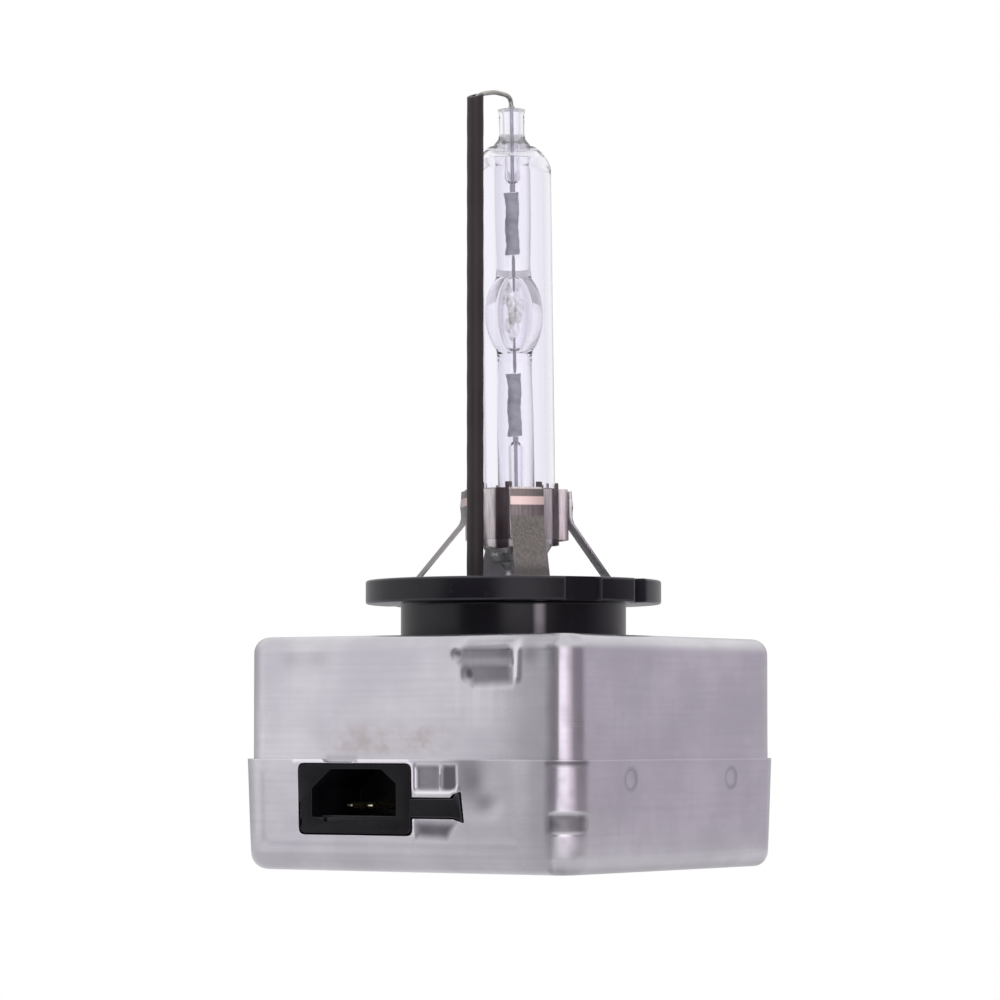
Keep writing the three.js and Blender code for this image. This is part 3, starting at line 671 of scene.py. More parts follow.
# ------------------------------------------------------------------ pressed sheet metal


def stations(spacing, corner_steps):
    """Places round a rounded square: its corner's X and Y from -1 to 1, and its normal's.

    spacing gives how many places the +X, +Y, -X and -Y sides have.
    """
    rows = []
    for side, count in enumerate(spacing):
        turn = Matrix.Rotation(side * math.pi / 2, 2)
        for i in range(count):
            centre = turn @ Vector((1, -1 + 2 * i / count))
            rows.append((*centre, *(turn @ Vector((1, 0)))))
        for i in range(corner_steps):
            angle = i / corner_steps * math.pi / 2
            normal = turn @ Vector((math.cos(angle), math.sin(angle)))
            rows.append((*(turn @ Vector((1, 1))), *normal))
    return np.array(rows)


def pressed(places, levels, press):
    """Rings of points, one for each half width, corner radius, z and tilt, after the pressing."""
    centre, normal = places[:, :2], places[:, 2:]
    points, normals = [], []
    for half, corner, z, tilt in levels:
        flat = centre * (half - corner) + normal * corner
        points.append(np.column_stack([flat, np.full(len(flat), z)]))
        lean = [normal * math.cos(tilt), np.full(len(flat), math.sin(tilt))]
        normals.append(np.column_stack(lean))
    points, normals = np.array(points), np.array(normals)
    return points + normals * press(points, normals)[..., None]


def smooth(share):
    """A share kept between 0 and 1, rising smoothly."""
    share = np.clip(share, 0, 1)
    return share * share * (3 - 2 * share)


def plateau(u, low, high, soft):
    """1 between low and high, falling smoothly to 0 over a width of soft at both ends."""
    return smooth(np.minimum(u - low, high - u) / soft + 0.5)


def pool(u, v, corners, soft):
    """1 inside a convex outline, listed anticlockwise, falling smoothly at its edge."""
    inside = np.full(u.shape, 1e9)
    for (u0, v0), (u1, v1) in zip(corners, corners[1:] + corners[:1]):
        length = math.hypot(u1 - u0, v1 - v0)
        inside = np.minimum(inside, ((u1 - u0) * (v - v0) - (v1 - v0) * (u - u0)) / length)
    return smooth(inside / soft + 0.5)


def ridge(u, v, route, width):
    """1 on a route of (u, v) points, falling smoothly to 0 at half the width away."""
    nearest = np.full(u.shape, 1e9)
    for (u0, v0), (u1, v1) in zip(route, route[1:]):
        du, dv = u1 - u0, v1 - v0
        share = np.clip(((u - u0) * du + (v - v0) * dv) / (du * du + dv * dv), 0, 1)
        nearest = np.minimum(nearest, np.hypot(u - u0 - share * du, v - v0 - share * dv))
    return smooth(1 - nearest / (width / 2))


def spot(u, v, middle, size):
    """1 at a middle (u, v), fading out over a size in u and in v."""
    return np.exp(-(((u - middle[0]) / size[0]) ** 2) - ((v - middle[1]) / size[1]) ** 2)


def waviness(points, size, seed):
    """Slow ripples of hand-straightened sheet, from -1 to 1."""
    turns = np.random.default_rng(seed)
    total = np.zeros(points.shape[:-1])
    for _ in range(7):
        direction = turns.normal(size=3)
        length = size * turns.uniform(0.7, 1.8) * np.linalg.norm(direction)
        direction *= 2 * math.pi / length
        total += np.sin(points @ direction + turns.uniform(0, 6.28))
    return total / 7


def facing(normals, axis, sign):
    """1 on the flat wall that faces one way along an axis."""
    return np.clip((sign * normals[..., axis] - 0.9) / 0.1, 0, 1)


def front_corner(x, y, middle):
    """1 at the middle of the rounded corner between the front and the +X side."""
    angle = np.arctan2(x - middle, -y - middle)
    return np.clip(np.sin(2 * angle) * 1.8, 0, 1) * (x > middle) * (-y > middle)


can_low, can_high = extent("upper_shield_can")
cover_high = extent("lower_shield_cover")[1]
cap_low, cap_high = extent("lamp_cap")
shroud_low, shroud_high = extent("connector_shroud")
SEAM_Z = cover_high.z

# ------------------------------------------------------------------ upper shield can

CAN_HALF = can_high.x
CAN_TOP = can_high.z
CAN_WALL = 0.45
CAN_CORNER = 3.0
CAN_FILLET = 1.6
CAN_SKIRT_IN = 0.2
COLLAR_HOLE = 11.6
# The skirt is cut away here, to clear the connector.
NOTCH_X, NOTCH_TOP = (-12.9, 8.2), 10.75


def can_levels(inset, pitch):
    """Half width, corner radius, z and tilt of each ring: skirt, step, wall and top fillet."""
    half, corner, fillet = CAN_HALF - inset, CAN_CORNER - inset, CAN_FILLET - inset
    step_low, step_high = SEAM_Z - 0.85, SEAM_Z - 0.35
    rows = wall_levels(
        half - CAN_SKIRT_IN, corner - CAN_SKIRT_IN, can_low.z, step_low, pitch * 3
    )
    for share in np.linspace(0, 1, 5):
        out = CAN_SKIRT_IN * (smooth(share) - 1)
        z = step_low + (step_high - step_low) * share
        rows.append((half + out, corner + out, z, 0.0))
    rows += wall_levels(half, corner, step_high + 0.05, CAN_TOP - CAN_FILLET, pitch)
    for angle in np.linspace(0, math.pi / 2, 9):
        turn_in = fillet * (1 - math.cos(angle))
        z = CAN_TOP - inset - fillet + fillet * math.sin(angle)
        rows.append((half - turn_in, corner - turn_in, z, angle))
    return rows


def wall_levels(half, corner, low, high, pitch):
    count = max(2, round((high - low) / pitch))
    return [(half, corner, low + (high - low) * i / count, 0.0) for i in range(count)]


# Pressed lugs and dents on the can's front, as X and Z.
UPPER_LUG = [(6.9, 20.45), (12.7, 20.45), (12.7, 22.35), (7.9, 22.35), (6.4, 21.3)]
LOWER_LUG = [(8.6, 18.2), (12.7, 18.35), (12.7, 20.3), (7.2, 20.3), (7.5, 19.0)]
UPPER_PIT, LOWER_PIT = (6.5, 21.25), (7.8, 19.2)


def can_press(points, normals):
    """How far each point of the can stands out of the plain rounded box."""
    x, z = points[..., 0], points[..., 2]
    wall = np.clip(1 - np.abs(normals[..., 2]) * 3, 0, 1)
    slope = np.clip((x - 6.0) / 6.7, 0, 1)
    depth = -(0.08 + 0.46 * slope) * pool(x, z, UPPER_LUG, 1.1)
    depth -= (0.06 + 0.30 * slope) * pool(x, z, LOWER_LUG, 1.1)
    depth += 0.10 * ridge(x, z, [(13.45, 18.9), (13.6, 22.0)], 1.3)
    for height, middle, size in (
        (0.20, UPPER_PIT, (0.45, 0.45)),
        (0.20, LOWER_PIT, (0.45, 0.45)),
        (0.06, (-11.5, 20.8), (2.6, 0.9)),
        (0.22, (-18.6, 14.9), (1.1, 1.1)),
    ):
        depth -= height * spot(x, z, middle, size)
    depth -= 0.12 * np.clip((x - 9) / 8, 0, 1) ** 2
    return facing(normals, 1, -1) * wall * depth + wall * 0.028 * waviness(points, 9.0, 3)


def can_painted_light(points):
    """Painted light on the can's front: painted shade in its lugs, pits and dents, a painted
    highlight on the ridge beside the lugs, painted shade towards its +X end, and a painted
    shadow at the seam where the cover dips. The front corner gets random mottling.
    """
    x, y, z = points.T
    front = np.clip((-18.5 - y) / 0.4, 0, 1) * (x < 17.8)
    # painted shade in the lugs, pits and dents, and beside the lugs' end
    tone = 0.60 * pool(x, z, UPPER_LUG, 1.0) + 0.62 * pool(x, z, LOWER_LUG, 1.0)
    for strength, middle, size in (
        (0.5, UPPER_PIT, (0.5, 0.5)),
        (0.5, LOWER_PIT, (0.6, 0.6)),
        (0.34, (15.0, 21.2), (0.9, 1.1)),
        (0.16, (-13.4, 20.8), (1.2, 0.8)),
        (0.16, (-10.2, 20.8), (1.4, 0.8)),
    ):
        tone += strength * spot(x, z, middle, size)
    # painted highlight on the ridge beside the lugs
    tone -= 0.5 * ridge(x, z, [(13.45, 19.1), (13.6, 22.1)], 1.5)
    # painted shade, darker towards the +X end of the front
    tone += 0.28 * np.clip((x - 8.5) / 6, 0, 1) ** 1.5 + 0.06 * np.clip((x + 6) / 16, 0, 1)
    # painted shadow at the seam where the cover dips
    tone += 0.22 * ridge(x, z, [(-8.9, 11.15), (-5.6, 11.15)], 1.0)
    corner = front_corner(x, y, CAN_HALF - CAN_CORNER)
    return front * tone + 0.20 * corner * np.clip(waviness(points, 1.9, 23) * 2, 0, 1)


def towards_hole(rings, z, count):
    """Carries the last ring in to the round collar hole, over a shallow groove."""
    edge = rings[-1][:, :2]
    hole = edge / np.linalg.norm(edge, axis=1)[:, None] * COLLAR_HOLE
    added = []
    for share in np.arange(1, count + 1) / count:
        flat = edge * (1 - share) + hole * share
        distance = np.linalg.norm(flat, axis=1)
        groove = 0.06 * np.exp(-(((distance - 13.6) / 0.7) ** 2))
        added.append(np.column_stack([flat, z - groove]))
    return np.concatenate([rings, added])


def upper_can():
    places = stations([70, 50, 50, 190], 14)
    outer = towards_hole(pressed(places, can_levels(0.0, 0.22), can_press), CAN_TOP, 14)
    inner = pressed(places, can_levels(CAN_WALL, 1.6), can_press)
    inner = towards_hole(inner, CAN_TOP - CAN_WALL, 3)
    rings = np.concatenate([outer, inner[::-1]])
    mesh = solid("can", rings.reshape(-1, 3), grid_faces(len(rings), len(places), True))
    notch = rectangle(NOTCH_X, (can_low.z - 1, NOTCH_TOP))
    mesh = carved(mesh, raised("notch", notch, -21, -17, "Y"))
    write_tone(mesh, can_painted_light)
    place_piece("shield_can", mesh, can_sheet, ["upper_shield_can"], 40)


upper_can()

# ------------------------------------------------------------------ lower shield cover

COVER_WALL = 0.4
COVER_FILLET = 1.7
COVER_CORNER = CAN_CORNER + 0.1
COVER_TOP_HALF = cover_high.x
COVER_BASE_HALF = COVER_TOP_HALF - 0.26
PANEL_LIFT = 0.22
MOUTH_RIGHT = 1.3
MOUTH_GAP = 0.14
# Cutters that pass through a front wall go from well outside it to well inside it.
CUT_FROM, CUT_TO = -21, -18.6


def cover_levels(inset, pitch):
    """Half width, corner radius, z and tilt of each ring: bottom fillet, then flared wall."""
    fillet, base = COVER_FILLET - inset, COVER_BASE_HALF - inset
    corner, top = COVER_CORNER - inset, SEAM_Z - 0.08
    rows = []
    for angle in np.linspace(-math.pi / 2, 0, 9):
        turn_in = fillet * (1 - math.cos(angle))
        z = COVER_FILLET + fillet * math.sin(angle)
        rows.append((base - turn_in, corner - turn_in, z, angle))
    count = max(2, round((top - COVER_FILLET) / pitch))
    for share in np.arange(1, count + 1) / count:
        half = base + share * (COVER_TOP_HALF - COVER_BASE_HALF)
        rows.append((half, corner, COVER_FILLET + share * (top - COVER_FILLET), 0.0))
    return rows


# Pressings on the cover's front, as X and Z, and the two dimples on each side.
PANEL = [(-16.6, 2.8), (14.2, 2.8), (14.2, 13.0), (-16.6, 13.0)]
WINDOW = [(1.95, 8.05), (6.5, 8.05), (6.5, 10.4), (1.95, 10.4)]
LOWER_PATCH = [(1.95, 3.6), (5.5, 3.4), (6.4, 4.8), (1.9, 4.9)]
RIM = [(-12.7, 10.85), (0.9, 10.85), (1.65, 10.3), (1.65, 8.2), (2.1, 7.72), (5.9, 7.72)]
RIM.append((6.7, 8.3))
DIMPLE_Y, DIMPLE_Z = 9.45, 9.1


def cover_press(points, normals):
    """How far each point of the cover stands out of the plain rounded box."""
    x, y, z = points[..., 0], points[..., 1], points[..., 2]
    wall = np.clip(1 - np.abs(normals[..., 2]) * 3, 0, 1)
    depth = -0.08 * pool(x, z, PANEL, 2.6)
    depth -= 0.24 * pool(x, z, WINDOW, 0.5) + 0.10 * pool(x, z, LOWER_PATCH, 0.9)
    depth += 0.18 * ridge(x, z, [(4.75, 8.3), (4.8, 10.2)], 0.8)
    depth += 0.07 * ridge(x, z, RIM, 0.8)
    depth += 0.05 * ridge(x, z, [(1.65, 5.0), (1.7, 3.6)], 0.7)
    depth -= 0.22 * spot(x, z, (8.6, 8.8), (1.7, 2.4))
    depth -= 0.14 * spot(x, z, (10.4, 6.6), (1.2, 1.0))
    depth += 0.10 * plateau(x, -9.3, -5.3, 0.8) * plateau(z, 10.3, 13, 0.6)
    distance = np.hypot(np.abs(y) - DIMPLE_Y, z - DIMPLE_Z)
    dimple = -0.06 * np.clip(1 - (distance / 1.1) ** 2, 0, 1)
    right, left = facing(normals, 0, 1), facing(normals, 0, -1)
    to_right = np.clip(normals[..., 0], 0, 1)
    corner = np.clip(to_right * -normals[..., 1] * 2.2, 0, 1)
    groove = -0.20 * corner * plateau(z, 4.15, 5.75, 0.6)
    groove -= 0.018 * right * plateau(z, 4.15, 5.75, 0.7)
    ripples = 0.025 * waviness(points, 8.0, 11)
    tight = -0.24 * np.clip(to_right * normals[..., 1] * 2.2, 0, 1)
    front = facing(normals, 1, -1) * depth
    return wall * (front + (right + left) * dimple + groove + ripples) + tight


def cover_painted_light(points):
    """Painted light on the cover: painted shade in its pressings, dents and panel crease,
    painted highlights on their raised rims, painted shade in the dull groove round the corner,
    painted shadows under the seam and where the cover dips, and painted shade along the foot
    of the +X side and round each dimple. The corner also gets random mottling.
    """
    x, y, z = points.T
    front = np.clip((-18.9 - y) / 0.4, 0, 1) * (x < 17.5)
    window_end = [(5.15, 8.0), (6.8, 8.0), (6.8, 10.8), (5.15, 10.8)]
    # painted shade in the window and patch pockets, darker at the window's end
    tone = 0.68 * pool(x, z, WINDOW, 0.5) + 0.86 * pool(x, z, LOWER_PATCH, 1.1)
    tone += 0.22 * pool(x, z, window_end, 0.3)
    for strength, route, width in (
        # painted highlights on raised rims and ridges below 0; painted shade in the panel crease
        # and a painted shadow where the cover dips
        (-0.80, [(4.75, 8.4), (4.8, 10.2)], 0.8),
        (-0.55, RIM, 0.8),
        (-0.60, [(1.65, 5.0), (1.7, 3.7)], 0.7),
        (0.12, [(-16.7, 9.5), (-16.7, 3.2), (-15.8, 2.7), (13.5, 2.6)], 1.0),
        (0.45, [(-8.9, 11.0), (-5.7, 11.0)], 0.6),
    ):
        tone += strength * ridge(x, z, route, width)
    # painted shade in the two dents
    tone += 0.60 * spot(x, z, (8.5, 9.2), (1.5, 2.1))
    tone += 0.30 * spot(x, z, (9.9, 6.8), (1.4, 1.0))
    # painted shade, darker towards the +X end of the front
    tone += 0.10 * np.clip((x + 2) / 12, 0, 1) + 0.06
    tone += 0.16 * np.clip((x - 12) / 5, 0, 1) ** 1.5
    middle = COVER_BASE_HALF - CAN_CORNER
    corner = front_corner(x, y, middle)
    # painted shade in the groove round the corner and a painted shadow under the seam
    groove_and_seam_shade = 0.80 * plateau(z, 4.1, 5.8, 0.5) + 0.8 * plateau(z, 10.45, 10.98, 0.2)
    mottle = 0.16 * np.clip(waviness(points, 1.9, 29) * 2, 0, 1)
    distance = np.hypot(np.abs(y) - DIMPLE_Y, z - DIMPLE_Z)
    # painted shade along the foot of the +X side
    foot = 0.35 * (x > middle) * np.clip((0.9 - z) / 0.5, 0, 1)
    # painted shade round each dimple's edge
    ring = 0.42 * np.exp(-(((distance - 1.0) / 0.2) ** 2)) * (np.abs(x) > 19)
    return front * tone + corner * (groove_and_seam_shade + mottle) + foot + ring


def underside(edge, z, count):
    """Rings from the middle of the underside out to its edge, with a shallow pressed panel."""
    added = []
    for i in range(1, count + 1):
        flat = edge[:, :2] * i / (count + 1)
        lift = PANEL_LIFT * plateau(np.max(np.abs(flat), axis=1), -20.0, 14.5, 1.2)
        added.append(np.column_stack([flat, z + lift]))
    return np.array(added)


def lower_cover():
    places = stations([120, 50, 60, 200], 14)
    outer = pressed(places, cover_levels(0.0, 0.2), cover_press)
    inner = pressed(places, cover_levels(COVER_WALL, 1.6), cover_press)
    for rings in (outer, inner):
        x, y = rings[-1][:, 0], rings[-1][:, 1]
        dip = 0.34 * plateau(x, -9.2, -5.4, 0.5) * (y < -19)
        rings[-1][:, 2] -= dip
        rings[-2][:, 2] -= dip * 0.6
    floors = underside(outer[0], 0.0, 22), underside(inner[0], COVER_WALL, 4)
    rings = np.concatenate([floors[0], outer, inner[::-1], floors[1][::-1]])
    middles = [[0, 0, PANEL_LIFT], [0, 0, COVER_WALL + PANEL_LIFT]]
    points = np.concatenate([rings.reshape(-1, 3), middles])
    count = len(places)
    faces = grid_faces(len(rings), count, False)
    last = (len(rings) - 1) * count
    for i in range(count):
        ahead = (i + 1) % count
        faces.append([len(points) - 2, ahead, i])
        faces.append([len(points) - 1, last + i, last + ahead])
    across = (shroud_low.x - MOUTH_GAP, MOUTH_RIGHT + MOUTH_GAP)
    up = (shroud_low.z - MOUTH_GAP, shroud_high.z + MOUTH_GAP)
    mouth = eased(rectangle(across, up), 0.7)
    bar = [(0.5, 5.25), (6.2, 5.25), (7.55, 4.85), (7.15, 7.95), (6.2, 7.65), (5.9, 7.35)]
    bar = eased(bar + [(0.5, 7.35)], 0.15)
    holes = [raised("hole", outline, CUT_FROM, CUT_TO, "Y") for outline in (mouth, bar)]
    mesh = carved(solid("cover", points, faces), *holes)
    write_tone(mesh, cover_painted_light)
    place_piece("shield_cover", mesh, cover_sheet, ["lower_shield_cover"], 40)


lower_cover()

# ------------------------------------------------------------------ lamp cap

REFERENCE_Z = cap_high.z
FLANGE_RADIUS = 15.0
FLANGE_BOTTOM = REFERENCE_Z - 2.4
COLLAR_RADIUS = 11.43
CAP_BORE = 2.15
CAP_WELL = 5.0
RECESS_OUT, RECESS_IN, RECESS_DEPTH = 12.4, 8.1, 0.12
RETURN_Y = -6.9
LEG_SIDES = {"front": -45, "right": 45, "back": 135, "left": 225}
# Index notches and shallow recesses in the flange's rim: direction, width and depth.
RIM_BITES = ((2, 1.9, 1.5), (182, 1.9, 1.5), (-28.5, 3.8, 0.5), (151.5, 3.8, 0.5))


def cap_rim(angles, radius, z):
    radii = np.full(len(angles), radius)
    for centre, width, depth in RIM_BITES if z > FLANGE_BOTTOM - 0.01 else ():
        across = (angles - math.radians(centre) + math.pi) % (2 * math.pi) - math.pi
        bite = plateau(across * FLANGE_RADIUS, -width / 2, width / 2, 0.28)
        limit = np.where(bite > 0, FLANGE_RADIUS - depth * bite, radii)
        radii = np.minimum(radii, limit)
    return radii


def lamp_cap():
    top, bottom, well_floor = REFERENCE_Z, cap_low.z, REFERENCE_Z - 3.0
    recess = REFERENCE_Z - RECESS_DEPTH
    corners = [(CAP_BORE, bottom), (COLLAR_RADIUS, bottom), (COLLAR_RADIUS, FLANGE_BOTTOM)]
    corners += [(FLANGE_RADIUS, FLANGE_BOTTOM), (FLANGE_RADIUS, top)]
    corners += [(RECESS_OUT, top), (RECESS_OUT - 0.2, recess), (RECESS_IN + 0.2, recess)]
    corners += [(RECESS_IN, top), (CAP_WELL, top), (CAP_WELL, well_floor)]
    corners += [(CAP_BORE, well_floor)]
    radii = [0.1, 0.25, 0.35, 0.28, 0.28, 0.05, 0.05, 0.05, 0.05, 0.3, 0.3, 0.15]
    mesh = turned("cap", eased(corners, radii), 540, cap_rim)
    slot = rectangle((9.45, 10.45), (-1.8, 1.8))
    slots = [
        turned_by(raised("slot", slot, top - 2.0, top + 1), angle)
        for angle in LEG_SIDES.values()
    ]
    hole = [(0, bottom - 1), (0.97, bottom - 1), (0.97, top + 1), (0, top + 1)]
    tube_hole = turned("tube_hole", hole, 32)
    tube_hole.transform(Matrix.Translation((0, RETURN_Y, 0)))
    mesh = carved(mesh, *slots, tube_hole)
    place_piece("cap", mesh, cap_black, ["lamp_cap"], 34)


lamp_cap()

# ------------------------------------------------------------------ legs and clamp band

BAND_LOW, BAND_HIGH = (v.z for v in extent("clamp_band"))
BULGE_REACH = 5.1
BAND_INSIDE = 4.03
BAND_SHEET = 0.3
LEG_SHEET = 0.28
LEG_WIDTH = 3.45
LEG_FOOT = 9.9
LEG_TOP = 38.1
TAB_TURN = 22.0


def leg_mesh():
    """One leg, standing on the +X side: a strip with rounded bends and a coined upper edge."""
    face = BULGE_REACH + 0.06
    back = face + LEG_SHEET
    foot_in, foot_out = LEG_FOOT - LEG_SHEET / 2, LEG_FOOT + LEG_SHEET / 2
    inner = [(foot_in, REFERENCE_Z - 1.9), (foot_in, REFERENCE_Z + 0.15)]
    inner += [(face + 0.15, 34.9), (face, 35.5), (face, LEG_TOP)]
    outer = [(back - 0.06, LEG_TOP), (back - 0.02, 37.4), (back + 0.09, 36.5)]
    outer += [(back + 0.02, 36.0), (back, 35.4), (back + 0.17, 34.8)]
    outer += [(foot_out, REFERENCE_Z + 0.05), (foot_out, REFERENCE_Z - 1.9)]
    radii = [0, 0.7, 1.5, 1.5, 0.04, 0.04, 0.3, 0.15, 0.4, 0.6, 1.5, 0.7, 0]
    outline = eased(inner + outer, radii, steps=6)
    strip = raised("leg", outline, -LEG_WIDTH / 2, LEG_WIDTH / 2, "Y")
    strip = bevelled(strip, 0.05, 2, 50)
    line_z = (REFERENCE_Z, 34.9, LEG_TOP)
    line_x = (LEG_FOOT, face + LEG_SHEET / 2 + 0.07, face + LEG_SHEET / 2)
    write_tone(strip, lambda points: points[:, 0] < np.interp(points[:, 2], line_z, line_x))
    return strip


class Grower(Graph):
    """A Geometry Nodes tree with named inputs that ends in Realize Instances and Set Material."""

    def __init__(self, name, inputs):
        super().__init__(bpy.data.node_groups.new(name, "GeometryNodeTree"))
        sockets = [("Geometry", "INPUT", "Geometry"), ("Geometry", "OUTPUT", "Geometry")]
        sockets += [(key, "INPUT", kind) for key, kind in inputs.items()]
        for key, way, kind in sockets:
            kind = f"NodeSocket{kind}"
            self.tree.interface.new_socket(key, in_out=way, socket_type=kind)
        self.entry = self.tree.nodes.new("NodeGroupInput")

    def value(self, name):
        return Signal(self, self.entry.outputs[name])

    def end(self, geometry):
        whole = self.node("GeometryNodeRealizeInstances", None, {0: geometry})
        inputs = {0: whole, "Material": self.value("Material")}
        painted = self.node("GeometryNodeSetMaterial", None, inputs)
        self.put(self.tree.nodes.new("NodeGroupOutput").inputs[0], painted)
        return self

    def grow(self, carrier, inputs):
        """The plain mesh that the tree makes on a carrier mesh."""
        return baked(carrier, ("NODES", {"node_group": self.tree}, inputs))


def around_axis():
    """A tree that repeats the carrier mesh round the lamp's axis."""
    inputs = {"Count": "Int", "First Angle": "Float", "Material": "Material"}
    grower = Grower("repeat_round_axis", inputs)
    count = grower.value("Count")
    spots = grower.node("GeometryNodePoints", None, {"Count": count})
    index = grower.node("GeometryNodeInputIndex")
    angle = index * (2 * math.pi) / count + grower.value("First Angle")
    turn = grower.node("ShaderNodeCombineXYZ", None, {"Z": angle})
    rotation = grower.node("FunctionNodeEulerToRotation", None, {0: turn})
    inputs = {"Points": spots, "Instance": grower.value("Geometry"), "Rotation": rotation}
    return grower.end(grower.node("GeometryNodeInstanceOnPoints", None, inputs))


LEG_INPUTS = {"Count": 4, "First Angle": math.radians(45), "Material": leg_strip}
LEG_NODES = [f"support_leg_{side}" for side in LEG_SIDES]
legs = around_axis().grow(leg_mesh(), LEG_INPUTS)
place_piece("legs", leaned(legs, REFERENCE_Z), leg_strip, LEG_NODES, 40)


def band_path(radius, bulge):
    """The band's middle line: arcs that follow the glass, with a square bulge at each leg."""
    half = LEG_WIDTH / 2 - BAND_SHEET / 2 - 0.05
    lean = math.asin(half / radius)
    arc = radius * math.cos(lean)
    corners, radii = [], []
    for turn in range(4):
        direction = math.radians(45 + 90 * turn)
        outward = Vector((math.cos(direction), math.sin(direction)))
        sideways = Vector((-outward.y, outward.x))
        for reach, side in ((arc, -1), (bulge, -1), (bulge, 1), (arc, 1)):
            corners.append(tuple(outward * reach + sideways * side * half))
            radii.append(0.35)
        for k in range(1, 8):
            angle = direction + lean + (math.pi / 2 - 2 * lean) * k / 8
            corners.append((radius * math.cos(angle), radius * math.sin(angle)))
            radii.append(0)
    return eased(corners, radii, steps=5)


def clamp_band():
    half = BAND_SHEET / 2
    middle = BAND_INSIDE + half
    section = rectangle((-half, half), (BAND_LOW, BAND_HIGH), 0.05)
    strip = ribbon("band", band_path(middle, BULGE_REACH - half), section)
    turns = np.linspace(0, 2 * math.pi, 96, endpoint=False)
    ring = [(middle * math.cos(a), middle * math.sin(a)) for a in turns]
    section = rectangle((-half * 0.7, half * 0.7), (BAND_LOW - 0.5, BAND_LOW + 0.3), 0.05)
    lip = ribbon("lip", ring, section)
    for vert in lip.vertices:
        away = (math.degrees(math.atan2(vert.co.y, vert.co.x)) + 80) / 28
        if vert.co.z < BAND_LOW and vert.co.y < 0:
            vert.co.z -= 0.42 * math.exp(-away * away)
    outline = rectangle((middle - 0.13, middle + 0.13), (-0.34, 0.34), 0.08)
    tabs = []
    for leg in range(4):
        for side in (-1, 1):
            tab = raised("tab", outline, BAND_HIGH - 0.6, BAND_HIGH + 0.6)
            tabs.append(turned_by(bevelled(tab, 0.07, 2, 35), 45 + 90 * leg + side * TAB_TURN))
    mesh = leaned(joined("band", strip, lip, *tabs))
    place_piece("band", mesh, band_strip, ["clamp_band"], 34)


clamp_band()

# ------------------------------------------------------------------ quartz burner

LIGHT_CENTRE = REFERENCE_Z + 27.1
envelope_low, envelope_high = extent("outer_envelope")
burner_low, burner_high = extent("arc_tube")
ENVELOPE_RADIUS = envelope_high.x
ENVELOPE_WALL = 0.85
STEM = 1.85
STEM_BORE = 0.56
BULB_RADIUS, BULB_HALF = 2.95, 4.7
CHAMBER_RADIUS, CHAMBER_HALF = 1.32, 3.65
SOLID_LOW, SOLID_HIGH = 43.2, 69.4
FOIL_TURN = -107


def bulge_profile(radius, half_height, reach):
    """Points of an ellipse about the light centre, as far as reach below and above it."""
    rows = []
    for i in range(41):
        z = LIGHT_CENTRE - reach + 2 * reach * i / 40
        share = min(1.0, abs(z - LIGHT_CENTRE) / half_height)
        rows.append((radius * math.sqrt(1 - share * share), z))
    return rows


def outer_envelope():
    """The outer tube, closed on the stems by a shoulder at each end. Outside first."""
    low, high, outer = envelope_low.z, envelope_high.z, ENVELOPE_RADIUS
    neck, inner = STEM + 0.04, outer - ENVELOPE_WALL
    corners = [(neck, low), (neck + 0.6, low + 0.05), (outer - 0.9, low + 0.9)]
    corners += [(outer, low + 2.4), (outer, high - 1.9), (outer - 0.9, high - 0.5)]
    corners += [(neck + 0.5, high), (neck, high), (neck, high - 0.9)]
    corners += [(inner - 0.5, high - 1.5), (inner, high - 2.5), (inner, low + 2.8)]
    corners += [(inner - 0.6, low + 1.9), (neck, low + 1.2)]
    radii = [0.1, 0.4, 0.8, 1.6, 1.5, 0.8, 0.3, 0.1, 0.3, 0.6, 1.2, 1.2, 0.6, 0.3]
    mesh = leaned(turned("envelope", eased(corners, radii, steps=8), 128))
    nodes = ["outer_envelope"]
    place_piece("outer_quartz_tube", mesh, outer_quartz, nodes, 60)


def arc_tube():
    """Two fused stems and the bulb between them, with the closed discharge chamber inside."""
    bore, low, high = STEM_BORE, burner_low.z, burner_high.z
    neck = envelope_high.z
    tail = STEM - 0.65
    reach = BULB_HALF * math.sqrt(1 - (STEM / BULB_RADIUS) ** 2)
    outside = [(0, SOLID_LOW), (bore * 0.6, SOLID_LOW - 0.1), (bore, SOLID_LOW - 0.6)]
    outside += [(bore, low + 0.1), (bore + 0.1, low), (tail - 0.1, low), (tail, low + 0.1)]
    outside += [(tail, 30.0), (tail + 0.25, 30.4), (STEM, 30.9), (STEM, 46.0)]
    outside += [(STEM - 0.08, 49.0), (STEM - 0.12, 51.0)]
    outside += bulge_profile(BULB_RADIUS, BULB_HALF, reach)
    outside += [(STEM - 0.12, 61.0), (STEM - 0.08, 63.0), (STEM, 66.0), (STEM, neck)]
    outside += [(STEM - 0.05, neck + 0.3), (1.4, neck + 0.8), (1.3, neck + 1.3)]
    outside += [(1.3, high - 0.5), (1.42, high - 0.08), (1.36, high), (0.9, high)]
    outside += [(0.84, high - 0.1), (0.8, high - 0.6), (0.72, neck), (bore, SOLID_HIGH + 2.4)]
    outside += [(bore, SOLID_HIGH + 0.6), (bore * 0.6, SOLID_HIGH + 0.1), (0, SOLID_HIGH)]
    chamber = bulge_profile(CHAMBER_RADIUS, CHAMBER_HALF, CHAMBER_HALF - 0.1)
    chamber = [(0, LIGHT_CENTRE - CHAMBER_HALF), *chamber, (0, LIGHT_CENTRE + CHAMBER_HALF)]
    hollow = turned("chamber", chamber, 96)
    hollow.flip_normals()
    mesh = joined("arc_tube", turned("arc_tube", outside, 128), hollow, outward=False)
    nodes = ["arc_tube"]
    place_piece("arc_tube_quartz", leaned(mesh), inner_quartz, nodes, 60)


